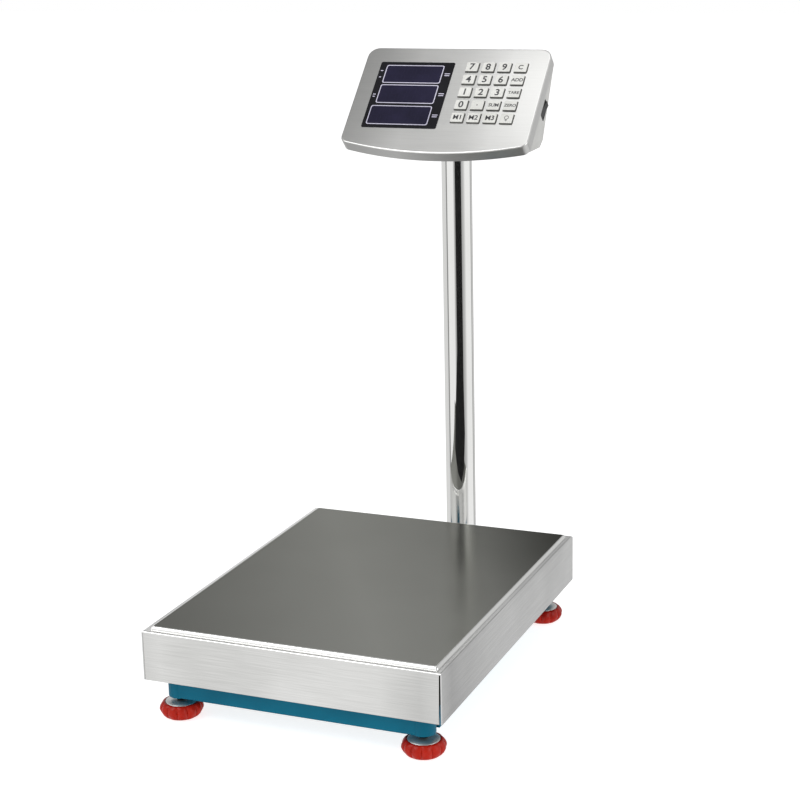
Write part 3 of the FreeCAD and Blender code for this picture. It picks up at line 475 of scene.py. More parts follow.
MATERIALS = {
    "pan_painted_shade": pan_painted_shade(),
    # the skirts carry painted shade: darker at the front and rear skirts' ends and near the side skirts'
    # front corners, and the side skirts' steel is a little darker all over
    "skirt_x": brushed("skirt_x", (0.66, 0.66, 0.645), (0.86, 0.86, 0.845), 0, shade=PAINTED_SHADE_X),
    "skirt_y": brushed("skirt_y", (0.60, 0.60, 0.595), (0.82, 0.82, 0.815), 1, shade=PAINTED_SHADE_Y),
    # the face's steel carries painted shade: darker towards its left end and a little towards its right
    "face_steel": brushed("face_steel", (0.74, 0.74, 0.725), (0.82, 0.82, 0.805), 0, (0.28, 0.31), 0.008,
                          PAINTED_SHADE_FACE),
    "edge_steel": brushed("edge_steel", (0.84, 0.84, 0.82), (0.94, 0.94, 0.93), 0, (0.12, 0.20)),
    # painted shade: near-black steel for the pan's shaded inside
    "inner_steel_painted_shade": cast_metal("inner_steel_painted_shade", (0.02, 0.02, 0.02), (0.05, 0.05, 0.05), (0.5, 0.7)),
    "chrome": polished_chrome(),
    "enamel": enamel(),
    "knob_red": moulded("knob_red", (0.30, 0.007, 0.002), (0.46, 0.014, 0.004), (0.22, 0.32), 900,
                        Specular_IOR_Level=0.22),
    "zinc": cast_metal("zinc", (0.80, 0.80, 0.79), (0.93, 0.93, 0.92), (0.36, 0.48)),
    "dark_zinc": cast_metal("dark_zinc", (0.05, 0.05, 0.05), (0.11, 0.11, 0.11), (0.3, 0.45)),
    "aluminium": cast_metal("aluminium", (0.66, 0.67, 0.68), (0.80, 0.81, 0.82), (0.28, 0.42)),
    "rubber": moulded("rubber", (0.012, 0.012, 0.012), (0.03, 0.03, 0.03), (0.6, 0.8), 700, 0.2),
    "housing": moulded("housing", (0.42, 0.42, 0.405), (0.50, 0.50, 0.485), (0.32, 0.45), 1500),
    "black": moulded("black", (0.006, 0.006, 0.006), (0.016, 0.016, 0.016), (0.3, 0.45), 1100),
    "acrylic": moulded("acrylic", (0.004, 0.004, 0.006), (0.008, 0.008, 0.011), (0.10, 0.18), 300, 0.01,
                       Specular_IOR_Level=0.25),
    "display": moulded("display", (0.008, 0.007, 0.022), (0.014, 0.012, 0.036), (0.12, 0.2), 300, 0.01,
                       Specular_IOR_Level=0.25),
    "segment": moulded("segment", (0.010, 0.009, 0.026), (0.015, 0.013, 0.038), (0.16, 0.24), 300, 0.01,
                       Specular_IOR_Level=0.25),
    "outline": moulded("outline", (0.48, 0.46, 0.58), (0.60, 0.58, 0.70), (0.4, 0.5), 600),
    "key_top": moulded("key_top", (0.62, 0.62, 0.59), (0.72, 0.72, 0.69), (0.32, 0.45), 900),
    # painted shade: near-black for the keys' skirts
    "key_side_painted_shade": moulded("key_side_painted_shade", (0.07, 0.07, 0.065), (0.12, 0.12, 0.11), (0.4, 0.5), 900),
    "legend": moulded("legend", (0.02, 0.02, 0.025), (0.05, 0.05, 0.055), (0.5, 0.6), 600),
    "board": circuit_board(),
    "battery": moulded("battery", (0.03, 0.03, 0.035), (0.06, 0.06, 0.065), (0.5, 0.65), 800),
}


# ---------------------------------------------------------------- mesh helpers

SAME_PLACE = 1e-7


def add_piece(name, bm, materials, body, replaces=(), matrix=None, sharp=35.0):
    """Turn a bmesh into a finished piece that rides on a body."""
    if matrix is not None:
        bm.transform(matrix)
    bmesh.ops.recalc_face_normals(bm, faces=bm.faces)
    mesh = bpy.data.meshes.new(name)
    bm.to_mesh(mesh)
    bm.free()
    for material in materials:
        mesh.materials.append(MATERIALS[material])
    mesh.polygons.foreach_set("use_smooth", [True] * len(mesh.polygons))
    mesh.set_sharp_from_angle(angle=math.radians(sharp))
    piece = bpy.data.objects.new(name, mesh)
    scene.collection.objects.link(piece)
    weigh_normals(piece)
    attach(piece, body)
    if replaces:
        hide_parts(*replaces)


def soften(piece, width):
    bevel = piece.modifiers.new("bevel", "BEVEL")
    bevel.width = width
    bevel.segments = 2
    bevel.limit_method = "ANGLE"
    bevel.angle_limit = math.radians(30)
    bevel.harden_normals = False


def weigh_normals(piece):
    normals = piece.modifiers.new("normals", "WEIGHTED_NORMAL")
    normals.keep_sharp = True
    normals.weight = 60


def ring_faces(bm, rings, material=0):
    """Join rings of equal length with quads; returns the rings' vertices."""
    made = [[bm.verts.new(point) for point in ring] for ring in rings]
    count = len(rings[0])
    for lower, upper in zip(made, made[1:]):
        for i in range(count):
            j = (i + 1) % count
            bm.faces.new((lower[i], lower[j], upper[j], upper[i])).material_index = material
    return made


def cap(bm, ring, material=0):
    """Face on a ring; material is a place in the piece's list of materials, here and in the helpers below."""
    bm.faces.new(ring).material_index = material


def lathe(bm, profile, centre=(0, 0, 0), steps=96, shape=None, material=0, close=True):
    """Turn (radius, height) pairs about an upright axis; shape changes a radius by its angle."""
    centre = Vector(centre)
    rings = []
    for radius, height in profile:
        ring = []
        for i in range(steps):
            angle = 2 * math.pi * i / steps
            reach = shape(radius, angle) if shape else radius
            ring.append(centre + Vector((reach * math.cos(angle), reach * math.sin(angle), height)))
        rings.append(ring)
    made = ring_faces(bm, rings, material)
    if close:
        cap(bm, made[0][::-1], material)
        cap(bm, made[-1], material)
    return made


def loop_lathe(bm, profile, centre, steps, material=0):
    """Lathe of a closed profile, such as a washer's or a tube's."""
    made = lathe(bm, [*profile, profile[0]], centre, steps, material=material, close=False)
    bmesh.ops.remove_doubles(bm, verts=made[0] + made[-1], dist=SAME_PLACE)


def arc_points(centre, radius, start, end, steps):
    return [(centre[0] + radius * math.cos(a), centre[1] + radius * math.sin(a))
            for a in (start + (end - start) * i / steps for i in range(steps + 1))]


def round_rectangle(low_x, low_y, high_x, high_y, radius, steps):
    """Anticlockwise outline with rounded corners."""
    corners = [((high_x - radius, high_y - radius), 0.0), ((low_x + radius, high_y - radius), 0.5),
               ((low_x + radius, low_y + radius), 1.0), ((high_x - radius, low_y + radius), 1.5)]
    points = []
    for centre, turn in corners:
        points += arc_points(centre, radius, turn * math.pi, (turn + 0.5) * math.pi, steps)
    return points


def quarter_turn(steps):
    return [math.pi / 2 * i / steps for i in range(steps + 1)]


def lift(points, height):
    return [Vector((x, y, height)) for x, y in points]


def slab(bm, outline, low, high, material=0):
    """Upright prism of an outline."""
    bottom, top = ring_faces(bm, [lift(outline, low), lift(outline, high)], material)
    cap(bm, bottom[::-1], material)
    cap(bm, top, material)


def pillow(bm, outline_at, low, high, edge, steps=3):
    """Prism whose upper edge is rounded; outline_at gives the outline moved in by a distance."""
    rings = [lift(outline_at(0), low)]
    for angle in quarter_turn(steps):
        rings.append(lift(outline_at(edge * (1 - math.cos(angle))), high - edge * (1 - math.sin(angle))))
    made = ring_faces(bm, rings)
    cap(bm, made[0][::-1])
    cap(bm, made[-1])


# ---------------------------------------------------------------- pan

TOP_RAISE = 3.4 * MM
TOP_INSET = 6.5 * MM
SHEET = 1.5 * MM
BEND = 2.2 * MM
FOLD_STEPS = 6
MITRE_GAP = 0.1 * MM
SIDE_GAP = 0.05 * MM
NARROW_SEAM = 0.35 * MM
WIDE_SEAM = 1.5 * MM
WIDE_SEAM_SPREAD = 0.9 * MM


def make_pan():
    low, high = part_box("pan")
    make_pan_top(low, high)
    for index, name in enumerate(("front", "right", "rear", "left")):
        make_pan_side(index, name, low, high)


def make_pan_top(low, high):
    """Raised plate with a bright folded edge round a darker brushed field that carries painted shade."""
    def outline_at(inset):
        return round_rectangle(low.x + TOP_INSET + inset, low.y + TOP_INSET + inset,
                               high.x - TOP_INSET - inset, high.y - TOP_INSET - inset, 2.0 * MM, 3)

    rim = high.z - TOP_RAISE
    lip = 4.0 * MM
    shoulder = 2.6 * MM
    field = 3.2 * MM
    bm = bmesh.new()
    steps = [(lip, rim - SHEET), (0.0, rim - SHEET), (0.0, rim + 0.2 * MM), (0.25 * MM, rim + 0.9 * MM),
             (1.1 * MM, rim + 2.4 * MM), (1.9 * MM, rim + 3.15 * MM), (shoulder, high.z)]
    ring_faces(bm, [lift(outline_at(inset), level) for inset, level in steps])
    inner = ring_faces(bm, [lift(outline_at(shoulder), high.z), lift(outline_at(field), high.z)])
    cap(bm, inner[-1], 1)
    under = ring_faces(bm, [lift(outline_at(lip), rim - SHEET), lift(outline_at(lip), high.z - SHEET)])
    cap(bm, under[-1])
    bmesh.ops.remove_doubles(bm, verts=bm.verts, dist=1e-6)
    add_piece("pan_top", bm, ["edge_steel", "pan_painted_shade"], "pan", ["pan"], sharp=28)


def side_profile(rim, bottom):
    """Outer then inner line of a folded side, as (distance in from the skirt's face, height)."""
    under_top = TOP_INSET + 0.5 * MM
    edge = 0.3 * MM
    upper, lower = rim - 12 * MM, rim - 30 * MM
    angles = quarter_turn(FOLD_STEPS)
    outer = [(under_top, rim)]
    outer += [(BEND - BEND * math.sin(angle), rim - BEND + BEND * math.cos(angle)) for angle in angles]
    outer += [(0.0, upper), (0.0, lower), (0.0, bottom + edge), (edge, bottom)]
    inner = [(SHEET - edge, bottom), (SHEET, bottom + edge), (SHEET, lower), (SHEET, upper)]
    bend = BEND - SHEET
    for angle in angles[::-1]:
        inner.append((SHEET + bend - bend * math.sin(angle), rim - SHEET - bend + bend * math.cos(angle)))
    inner.append((under_top, rim - SHEET))
    return outer, inner


def make_pan_side(index, name, low, high):
    """One folded side: a ledge mitred at its ends, a round bend and a skirt with an open corner seam."""
    rim = high.z - TOP_RAISE
    across = index % 2 == 0
    half_run = (high.x - low.x) / 2 if across else (high.y - low.y) / 2
    half_other = (high.y - low.y) / 2 if across else (high.x - low.x) / 2
    centre = Vector(((low.x + high.x) / 2, (low.y + high.y) / 2, 0))
    turn = Matrix.Rotation(index * math.pi / 2, 4, "Z")
    outer, inner = side_profile(rim, low.z)
    profile = outer + inner

    def end_of(distance, level, station):
        """Half the side's length at a point of its profile, towards the end that the station lies on."""
        if level > rim - BEND:
            return half_run - distance - MITRE_GAP
        if not across:
            return half_run - SIDE_GAP
        fall = (rim - BEND - level) / (rim - BEND - low.z)
        wide_end = (station > 0) == (index == 0)
        seam = WIDE_SEAM + WIDE_SEAM_SPREAD * fall if wide_end else NARROW_SEAM
        return half_run - (SHEET + seam)

    bm = bmesh.new()
    rings = []
    stations = [-1, -0.999, -0.9, -0.6, -0.2, 0.2, 0.6, 0.9, 0.999, 1]
    for station in stations:
        ring = []
        for distance, level in profile:
            reach = end_of(distance, level, station)
            ring.append(centre + turn @ Vector((station * reach, -half_other + distance, level)))
        rings.append(ring)
    made = ring_faces(bm, rings)
    # painted shade: the skirt's inner faces are near-black, as the shade inside the pan
    backs = range(len(outer), len(profile) - 1)
    for lower, upper in zip(made, made[1:]):
        for i in backs:
            shared = set(lower[i].link_faces) & set(lower[i + 1].link_faces) & set(upper[i].link_faces)
            for face in shared:
                face.material_index = 1
    cap(bm, made[0][::-1])
    cap(bm, made[-1])
    steel = "skirt_x" if across else "skirt_y"
    add_piece(f"pan_side_{name}", bm, [steel, "inner_steel_painted_shade"], "pan", sharp=40)


# ---------------------------------------------------------------- feet

LOBES = 12
LOBE_TRIM = 0.995


def make_feet():
    for corner in CORNERS:
        make_knob(corner)
        make_dish(corner)
        make_stud(corner)


def make_knob(corner):
    node = f"{corner}_foot_knob"
    low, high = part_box(node)
    centre = middle(node)
    reach = (high.x - low.x) / 2 / math.cos(math.pi / LOBES) * LOBE_TRIM
    tall = high.z - low.z

    def scallop(radius, angle):
        rim = max(0.0, (radius / reach - 0.70) / 0.30)
        wave = abs(math.cos(LOBES / 2 * angle)) ** 0.6
        return radius * (1 - 0.10 * rim * (1 - wave))

    profile = [(0.20, 0.0), (0.66, 0.0), (0.74, 0.025), (0.82, 0.10), (0.91, 0.24), (0.97, 0.40),
               (1.0, 0.53), (0.985, 0.66), (0.95, 0.78), (0.89, 0.90), (0.84, 0.965), (0.79, 1.0),
               (0.745, 0.995), (0.735, 0.97), (0.70, 0.955), (0.40, 0.955), (0.22, 0.955)]
    bm = bmesh.new()
    lathe(bm, [(radius * reach, height * tall) for radius, height in profile],
          (centre.x, centre.y, low.z), steps=144, shape=scallop)
    add_piece(f"{corner}_knob", bm, ["knob_red"], f"{corner}_foot", [node], sharp=50)


def make_dish(corner):
    node = f"{corner}_foot_dish"
    low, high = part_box(node)
    centre = middle(node)
    reach = (high.x - low.x) / 2
    bore = 5.1 * MM
    base = low.z
    profile = [(bore, base - 0.3 * MM), (reach * 0.98, base - 0.3 * MM), (reach, base),
               (reach * 0.99, base + 0.35 * MM), (reach * 0.90, base + 1.1 * MM),
               (reach * 0.78, base + 1.8 * MM), (reach * 0.62, base + 2.2 * MM),
               (reach * 0.52, base + 2.35 * MM), (bore + 0.3 * MM, base + 2.4 * MM), (bore, base + 2.2 * MM)]
    bm = bmesh.new()
    loop_lathe(bm, profile, (centre.x, centre.y, 0), steps=80)
    add_piece(f"{corner}_dish", bm, ["zinc"], f"{corner}_foot_slider", [node], sharp=40)


def make_stud(corner):
    """Stud with its thread's ridges."""
    node = f"{corner}_foot_stud"
    low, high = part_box(node)
    centre = middle(node)
    reach = (high.x - low.x) / 2
    pitch = 1.5 * MM
    profile = [(reach * 0.5, low.z), (reach * 0.95, low.z)]
    level = low.z + 14 * MM
    while level < high.z - 2 * pitch:
        profile += [(reach * 0.86, level), (reach * 0.86, level + 0.2 * pitch),
                    (reach * 0.99, level + 0.5 * pitch), (reach * 0.99, level + 0.65 * pitch)]
        level += pitch
    profile += [(reach * 0.86, high.z - 1.0 * MM), (reach * 0.7, high.z)]
    bm = bmesh.new()
    lathe(bm, profile, (centre.x, centre.y, 0), steps=40)
    add_piece(f"{corner}_stud", bm, ["dark_zinc"], f"{corner}_foot", [node], sharp=50)


# ---------------------------------------------------------------- column

def make_column():
    low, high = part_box("column")
    centre = middle("column")
    reach = (high.x - low.x) / 2
    wall = 1.5 * MM
    profile = [(reach - wall, low.z), (reach - 0.2 * MM, low.z), (reach, low.z + 0.3 * MM)]
    levels = 24
    profile += [(reach, low.z + (high.z - low.z) * i / levels) for i in range(1, levels)]
    profile += [(reach, high.z - 0.4 * MM), (reach - 0.4 * MM, high.z), (reach - wall, high.z)]
    profile += [(reach - wall, high.z - (high.z - low.z) * i / levels) for i in range(1, levels)]
    bm = bmesh.new()
    loop_lathe(bm, profile, (centre.x, centre.y, 0), steps=128)
    add_piece("column_tube", bm, ["chrome"], "base", ["column"], sharp=40)


# ---------------------------------------------------------------- head

HEAD_HALF = 120 * MM
HEAD_LENGTH = 161 * MM
LOW_ARC = 500 * MM
TOP_CORNER = 14 * MM
LOW_CORNER = 10 * MM
KEY_HALF = (8.35 * MM, 7.35 * MM)
KEY_GAP = 0.3 * MM
KEY_RISE = 2.6 * MM
KEY_DRAFT = 0.6 * MM
KEY_MATERIALS = ["key_top", "key_side_painted_shade", "legend"]
LEGEND_MATERIAL = KEY_MATERIALS.index("legend")
# the display's low and high corner in the face's own axes
WINDOW = (-98 * MM, -125 * MM, 0.0, -23 * MM)
WINDOW_GAP = 0.1 * MM
WINDOW_PROUD = 0.4 * MM
# each row's upper and lower edge as shares of the display's height, and its left edge as one of its width;
# ROW_END is the right edge of all three, and MARKS_LEFT and MARKS_RIGHT the middles of the bars beside them
DISPLAY_ROWS = [(0.050, 0.325, 0.092), (0.350, 0.632, 0.092), (0.668, 0.952, 0.052)]
ROW_END = 0.872
MARKS_LEFT = 0.042
MARKS_RIGHT = 0.936
ROW_LINE = 1.15 * MM
ROW_MATERIALS = ["outline", "display", "segment"]
SEGMENT_MATERIAL = ROW_MATERIALS.index("segment")


def head_outline(inset):
    """Face outline moved in by inset: straight top and sides, bowed lower edge, round corners."""
    steps = 8
    bow_steps = 48
    half = HEAD_HALF - inset
    top_r = TOP_CORNER - inset
    low_r = LOW_CORNER - inset
    arc = LOW_ARC - inset
    arc_y = LOW_ARC - HEAD_LENGTH
    low_x = half - low_r
    low_y = arc_y - math.sqrt((arc - low_r) ** 2 - low_x ** 2)
    lean = math.atan2(low_x, arc_y - low_y)
    quarter = math.pi / 2
    points = arc_points((half - top_r, -inset - top_r), top_r, 0, quarter, steps)
    points += arc_points((-half + top_r, -inset - top_r), top_r, quarter, 2 * quarter, steps)
    points += arc_points((-low_x, low_y), low_r, 2 * quarter, 3 * quarter - lean, steps)
    points += arc_points((0, arc_y), arc, 3 * quarter - lean, 3 * quarter + lean, bow_steps)[1:-1]
    points += arc_points((low_x, low_y), low_r, 3 * quarter + lean, 4 * quarter, steps)
    return points


def key_places():
    """Each key's middle in the face's own axes."""
    flat = head_matrix.inverted()
    for node, body in body_of_node.items():
        if node.startswith("key_"):
            place = flat @ middle(node)
            yield node, body, place.x, place.y


def fill_between(bm, loops):
    """Flat face with holes between vertex loops, in the piece's first material."""
    edges = []
    for loop in loops:
        for i, vert in enumerate(loop):
            following = loop[(i + 1) % len(loop)]
            edges.append(bm.edges.get((vert, following)) or bm.edges.new((vert, following)))
    made = bmesh.ops.triangle_fill(bm, use_beauty=True, use_dissolve=False, edges=edges)
    for item in made["geom"]:
        if isinstance(item, bmesh.types.BMFace):
            item.material_index = 0


def make_face():
    """Pressed steel face: rounded edge, deep band, and openings for the keys and the display."""
    edge = 1.8 * MM
    back_edge = 0.2 * MM
    inner_edge = 2.4 * MM
    bm = bmesh.new()
    rings = [lift(head_outline(SHEET), -BAND_DEPTH), lift(head_outline(back_edge), -BAND_DEPTH),
             lift(head_outline(0), -BAND_DEPTH + back_edge), lift(head_outline(0), -BAND_DEPTH / 2)]
    for angle in quarter_turn(FOLD_STEPS):
        rings.append(lift(head_outline(edge * (1 - math.cos(angle))), -edge * (1 - math.sin(angle))))
    outer = ring_faces(bm, rings)
    inner = ring_faces(bm, [lift(head_outline(SHEET), -BAND_DEPTH), lift(head_outline(SHEET), -inner_edge),
                            lift(head_outline(inner_edge), -SHEET)])
    holes = []
    for _, _, x, y in key_places():
        half_x, half_y = KEY_HALF[0] + KEY_GAP, KEY_HALF[1] + KEY_GAP
        holes.append(round_rectangle(x - half_x, y - half_y, x + half_x, y + half_y, 1.3 * MM, 3))
    low_x, low_y, high_x, high_y = WINDOW
    holes.append(round_rectangle(low_x - WINDOW_GAP, low_y - WINDOW_GAP, high_x + WINDOW_GAP,
                                 high_y + WINDOW_GAP, 2.5 * MM, 4))
    top_loops = [outer[-1]]
    low_loops = [inner[-1]]
    for hole in holes:
        # painted shade: the openings' walls take the black material, as the shade in the gaps round the keys
        # and the display
        low_ring, top_ring = ring_faces(bm, [lift(hole, -SHEET), lift(hole, 0)], material=1)
        top_loops.append(top_ring)
        low_loops.append(low_ring)
    fill_between(bm, top_loops)
    fill_between(bm, low_loops)
    bmesh.ops.remove_doubles(bm, verts=bm.verts, dist=SAME_PLACE)
    add_piece("face_panel", bm, ["face_steel", "black"], "head", ["front_panel"],
              head_matrix)


def make_display():
    """Black acrylic panel with three outlined windows of unlit digits."""
    low_x, low_y, high_x, high_y = WINDOW
    bm = bmesh.new()

    def outline_at(inset):
        return round_rectangle(low_x + inset, low_y + inset, high_x - inset, high_y - inset, 2.4 * MM, 4)

    pillow(bm, outline_at, -2.2 * MM, WINDOW_PROUD, 0.3 * MM)
    add_piece("display_panel", bm, ["acrylic"], "head", ["display_window"], head_matrix)
    for number, (first, last, start) in enumerate(DISPLAY_ROWS, start=1):
        left = low_x + start * (high_x - low_x)
        right = low_x + ROW_END * (high_x - low_x)
        bottom = high_y - last * (high_y - low_y)
        top = high_y - first * (high_y - low_y)
        replaced = ["display_modules"] if number == 1 else ()
        make_display_row(f"display_row_{number}", left, bottom, right, top, replaced)
    make_display_marks()


def make_display_row(name, left, bottom, right, top, replaced):
    """Raised outline round a dark window that holds a row of digits."""
    glass = WINDOW_PROUD + 0.03 * MM
    crest = WINDOW_PROUD + 0.10 * MM
    bm = bmesh.new()

    def window_at(inset):
        return round_rectangle(left + inset, bottom + inset, right - inset, top - inset,
                               2.6 * MM - inset / 2, 5)

    rings = ring_faces(bm, [lift(window_at(0), WINDOW_PROUD - 0.05 * MM), lift(window_at(0), crest),
                            lift(window_at(ROW_LINE), crest), lift(window_at(ROW_LINE), glass)])
    cap(bm, rings[-1], 1)
    cap(bm, rings[0][::-1])
    add_digits(bm, left + 2.6 * MM, right - 2.6 * MM, bottom + 3.0 * MM, top - 3.0 * MM, glass)
    add_piece(name, bm, ROW_MATERIALS, "head", replaced, head_matrix)


def make_display_marks():
    """Small plain bars beside the rows: a pair right of each, and a pair left of the upper two."""
    low_x, low_y, high_x, high_y = WINDOW
    right = low_x + MARKS_RIGHT * (high_x - low_x)
    left = low_x + MARKS_LEFT * (high_x - low_x)
    # heights and half lengths, in millimetres, of the bars left of each row
    left_bars = [[(5.0, 1.7), (-5.0, 1.4)], [(-1.0, 1.9), (-4.5, 1.5)], []]
    thick = 0.6 * MM
    bm = bmesh.new()
    for (first, last, _), row_bars in zip(DISPLAY_ROWS, left_bars):
        middle_y = high_y - (first + last) / 2 * (high_y - low_y)
        bars = [(right, 1.4, 3.6), (right, -1.4, 3.3)]
        bars += [(left, rise, half) for rise, half in row_bars]
        for x, rise, half in bars:
            y, reach = middle_y + rise * MM, half * MM
            slab(bm, round_rectangle(x - reach, y - thick, x + reach, y + thick, 0.4 * MM, 2),
                 WINDOW_PROUD - 0.02 * MM, WINDOW_PROUD + 0.06 * MM)
    add_piece("display_marks", bm, ["outline"], "head", (), head_matrix)


DIGITS = 6
DIGIT_WIDTH = 0.56
BAR_WIDTH = 0.10
DIGIT_SLANT = 0.12


def add_digits(bm, left, right, bottom, top, level):
    """A row of unlit seven-bar digits, each a share of its pitch wide."""
    pitch = (right - left) / DIGITS
    tall = top - bottom
    wide, bar = pitch * DIGIT_WIDTH, pitch * BAR_WIDTH
    mid = (bottom + top) / 2
    for digit in range(DIGITS):
        x = left + pitch * (digit + 0.5)
        bars = [(x, y, wide / 2, bar / 2) for y in (bottom + bar, mid, top - bar)]
        for side in (-1, 1):
            for end in (-1, 1):
                bars.append((x + side * wide * 0.58, mid + end * tall * 0.22, bar / 2, tall * 0.17))
        for centre_x, centre_y, half_x, half_y in bars:
            slant = (centre_y - mid) * DIGIT_SLANT
            slab(bm, round_rectangle(centre_x + slant - half_x, centre_y - half_y, centre_x + slant + half_x,
                                     centre_y + half_y, min(half_x, half_y) * 0.7, 2),
                 level - 0.02 * MM, level + 0.03 * MM, SEGMENT_MATERIAL)


LEGENDS = {
    "key_7": "7", "key_8": "8", "key_9": "9", "key_clear": "C", "key_4": "4", "key_5": "5", "key_6": "6",
    "key_add": "ADD", "key_1": "1", "key_2": "2", "key_3": "3", "key_tare": "TARE", "key_0": "0",
    "key_total": "SUM", "key_zero": "ZERO", "key_memory_1": "M1", "key_memory_2": "M2", "key_memory_3": "M3",
}
LEGEND_SIZE = {1: 13.0 * MM, 2: 9.4 * MM, 3: 6.8 * MM, 4: 5.8 * MM}
CLEAR_SIZE = 9.0 * MM
LEGEND_THICK = 0.05 * MM
LEGEND_WEIGHT = 0.022


def text_mesh(words, size):
    """Flat outlines of generic characters, centred on the origin."""
    curve = bpy.data.curves.new("legend", "FONT")
    curve.body = words
    curve.size = size
    curve.align_x = "CENTER"
    curve.align_y = "CENTER"
    curve.extrude = LEGEND_THICK
    curve.offset = size * LEGEND_WEIGHT
    curve.resolution_u = 4
    holder = bpy.data.objects.new("legend", curve)
    scene.collection.objects.link(holder)
    bpy.context.view_layer.update()
    mesh = bpy.data.meshes.new_from_object(holder.evaluated_get(bpy.context.evaluated_depsgraph_get()))
    bpy.data.objects.remove(holder)
    bpy.data.curves.remove(curve)
    return mesh


def add_text(bm, words, x, y, size):
    """Characters on a key's top, their own box centred on the key."""
    mesh = text_mesh(words, size)
    known_verts = len(bm.verts)
    known_faces = len(bm.faces)
    bm.from_mesh(mesh)
    bm.verts.ensure_lookup_table()
    bm.faces.ensure_lookup_table()
    fresh = bm.verts[known_verts:]
    span_x = [vert.co.x for vert in fresh]
    span_y = [vert.co.y for vert in fresh]
    centre = Vector(((min(span_x) + max(span_x)) / 2, (min(span_y) + max(span_y)) / 2, 0))
    for vert in fresh:
        vert.co += Vector((x, y, KEY_RISE)) - centre
    for face in bm.faces[known_faces:]:
        face.material_index = LEGEND_MATERIAL
    bpy.data.meshes.remove(mesh)


def add_bar(bm, x, y, half_x, half_y):
    outline = round_rectangle(x - half_x, y - half_y, x + half_x, y + half_y, min(half_x, half_y) * 0.6, 2)
    slab(bm, outline, KEY_RISE - LEGEND_THICK, KEY_RISE + LEGEND_THICK, LEGEND_MATERIAL)


def add_ring(bm, x, y, outer, inner):
    low, high = KEY_RISE - LEGEND_THICK, KEY_RISE + LEGEND_THICK
    profile = [(inner, low), (outer, low), (outer, high), (inner, high)]
    loop_lathe(bm, profile, (x, y, 0), 20, LEGEND_MATERIAL)


def add_symbol(bm, node, x, y):
    """Plain marks for the two keys without words: a dot and a small lamp."""
    if node == "key_point":
        add_bar(bm, x, y - 0.5 * MM, 0.75 * MM, 0.75 * MM)
    if node == "key_lamp":
        add_ring(bm, x, y + 1.0 * MM, 2.9 * MM, 2.2 * MM)
        add_bar(bm, x, y - 2.6 * MM, 1.4 * MM, 0.4 * MM)
        add_bar(bm, x, y - 3.9 * MM, 1.0 * MM, 0.35 * MM)


def make_keys():
    for node, body, x, y in key_places():
        make_key(node, body, x, y)


def make_key(node, body, x, y):
    """Key with a drafted skirt painted near-black as shade, a rounded pale top and its legend."""
    def outline_at(inset):
        half_x, half_y = KEY_HALF[0] - inset, KEY_HALF[1] - inset
        return round_rectangle(x - half_x, y - half_y, x + half_x, y + half_y, 1.0 * MM, 3)

    def top_outline_at(inset):
        return outline_at(KEY_DRAFT + inset)

    skirt_top = KEY_RISE - 0.7 * MM
    bm = bmesh.new()
    # painted shade: the skirt is near-black, standing in for the shadow in the gap round the key
    rings = ring_faces(bm, [lift(outline_at(0), -6.4 * MM), lift(outline_at(0), 0.4 * MM),
                            lift(outline_at(KEY_DRAFT), skirt_top)], 1)
    cap(bm, rings[0][::-1], 1)
    cap(bm, rings[-1], 1)
    pillow(bm, top_outline_at, skirt_top, KEY_RISE, 0.45 * MM, 4)
    words = LEGENDS.get(node)
    if words:
        size = CLEAR_SIZE if words == "C" else LEGEND_SIZE[len(words)]
        add_text(bm, words, x, y, size)
    else:
        add_symbol(bm, node, x, y)
    add_piece(f"{node}_cap", bm, KEY_MATERIALS, body, [node], head_matrix, 40)


ROCKER_HALF = (10.4 * MM, 4.4 * MM)
ROCKER_STEPS = 12
HOUSING_INSET = 2.0 * MM


def make_rocker():
    """Curved rocker cap and the thin frame round it on the housing's right side."""
    centre = head_matrix.inverted() @ Vector(joints["power_rocker"]["pos_m"])
    wall_x = HEAD_HALF - HOUSING_INSET
    back_x = wall_x - 3.0 * MM
    half_y, half_z = ROCKER_HALF
    # the pressed end lies low and the other stands proud
    spine = []
    for i in range(ROCKER_STEPS + 1):
        along = -1 + 2 * i / ROCKER_STEPS
        out = 0.6 + 1.8 * max(along, 0) ** 1.4 - 0.6 * max(-along, 0) ** 1.2
        spine.append((along * half_y, out * MM))
    bm = bmesh.new()
    rings = []
    for offset in (-1.0, -0.93, 0.93, 1.0):
        drop = 0.3 * MM if abs(offset) == 1.0 else 0
        z = centre.z + offset * half_z
        ring = [Vector((wall_x + out - drop, centre.y + along, z)) for along, out in spine]
        ring += [Vector((back_x, centre.y + along, z)) for along, _ in spine[::-1]]
        rings.append(ring)
    made = ring_faces(bm, rings)
    cap(bm, made[0][::-1])
    cap(bm, made[-1])
    add_piece("rocker_cap", bm, ["black"], "rocker", ["switch_rocker"], head_matrix, 40)
    make_rocker_frame(wall_x, centre)


def make_rocker_frame(wall_x, centre):
    half_y, half_z = ROCKER_HALF

    def outline_at(wider, taller, radius):
        return round_rectangle(-half_y - wider, -half_z - taller, half_y + wider, half_z + taller, radius, 4)

    outer = outline_at(1.9 * MM, 1.6 * MM, 1.2 * MM)
    inner = outline_at(0.5 * MM, 0.25 * MM, 0.4 * MM)
    rings = [[Vector((wall_x + out * MM, centre.y + along, centre.z + up)) for along, up in points]
             for points, out in ((inner, -1.5), (outer, -0.1), (outer, 0.4), (inner, 0.6))]
    bm = bmesh.new()
    ring_faces(bm, [*rings, rings[0]])
    bmesh.ops.remove_doubles(bm, verts=bm.verts, dist=SAME_PLACE)
    add_piece("rocker_frame", bm, ["black"], "head", (), head_matrix)


FLUTES = 8
YOKE_GAP = 0.4 * MM


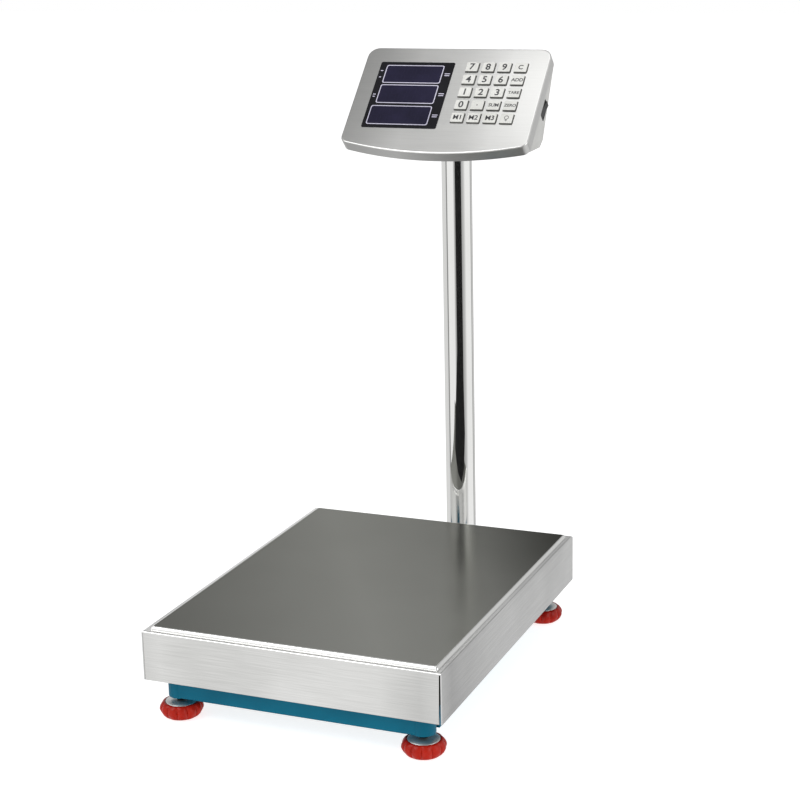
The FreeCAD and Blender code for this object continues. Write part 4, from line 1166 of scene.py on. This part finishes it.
def make_pivot_knobs():
    """Two fluted hand knobs on the tilt axis, each with its stud."""
    low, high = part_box("pivot_knobs")
    centre = middle("pivot_knobs")
    reach = (high.z - low.z) / 2
    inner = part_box("head_yoke")[1].x + YOKE_GAP
    thick = high.x - inner

    def flute(radius, angle):
        rim = max(0.0, (radius / reach - 0.8) / 0.2)
        return radius * (1 - 0.07 * rim * (1 - abs(math.cos(FLUTES / 2 * angle)) ** 0.7))

    profile = [(0.34, 0.0), (0.80, 0.0), (0.93, 0.05), (0.99, 0.14), (1.0, 0.5), (0.99, 0.82), (0.94, 0.93),
               (0.84, 0.985), (0.70, 1.0), (0.66, 0.96), (0.30, 0.95), (0.12, 0.95)]
    stud = [(3.0 * MM, 0.3 * MM), (3.9 * MM, 0.1 * MM), (3.9 * MM, -14 * MM), (3.2 * MM, -14.6 * MM)]
    bm = bmesh.new()
    for side in (-1, 1):
        known = len(bm.verts)
        lathe(bm, [(radius * reach, height * thick) for radius, height in profile], steps=96, shape=flute)
        lathe(bm, stud, steps=32, material=1)
        bm.verts.ensure_lookup_table()
        turn = Matrix.Rotation(side * math.pi / 2, 4, "Y")
        shift = Matrix.Translation((side * inner, centre.y, centre.z))
        for vert in bm.verts[known:]:
            vert.co = shift @ turn @ vert.co
    add_piece("tilt_knobs", bm, ["black", "zinc"], "head", ["pivot_knobs"])


# ---------------------------------------------------------------- CAD nodes that stay

# each node's material and the width in millimetres of its softened edges
STAY = {
    "end_rails": ("enamel", 1.6), "side_rails": ("enamel", 1.6), "corner_bosses": ("enamel", 0.8),
    "cross_beam": ("enamel", 1.0), "load_beam": ("enamel", 1.0), "load_arms": ("enamel", 0.7),
    "column_bracket": ("enamel", 0.6), "head_yoke": ("zinc", 0.5), "cell_spacer": ("zinc", 0.3),
    "cell_base_bolts": ("zinc", 0.35), "cell_top_bolts": ("zinc", 0.35), "column_bolts": ("zinc", 0.35),
    "overload_stops": ("zinc", 0.4), "load_cell": ("aluminium", 0.4), "rubber_pads": ("rubber", 0.8),
    "signal_cable": ("rubber", 0), "rear_housing": ("housing", 0.7), "main_board": ("board", 0),
    "battery": ("battery", 1.0), "charging_inlet": ("black", 0.3), "housing_screws": ("zinc", 0.3),
}


def finish_cad_nodes():
    for node, (material, width) in STAY.items():
        item = frame["nodes"][node]
        if not item.data.materials:
            item.data.materials.append(None)
        for place in item.material_slots:
            place.link = "OBJECT"
            place.material = MATERIALS[material]
        weld = item.modifiers.new("weld", "WELD")
        weld.merge_threshold = 1e-5
        if width:
            soften(item, width * MM)
        weigh_normals(item)


make_stage()
make_pan()
make_feet()
make_column()
make_face()
make_display()
make_keys()
make_rocker()
make_pivot_knobs()
finish_cad_nodes()
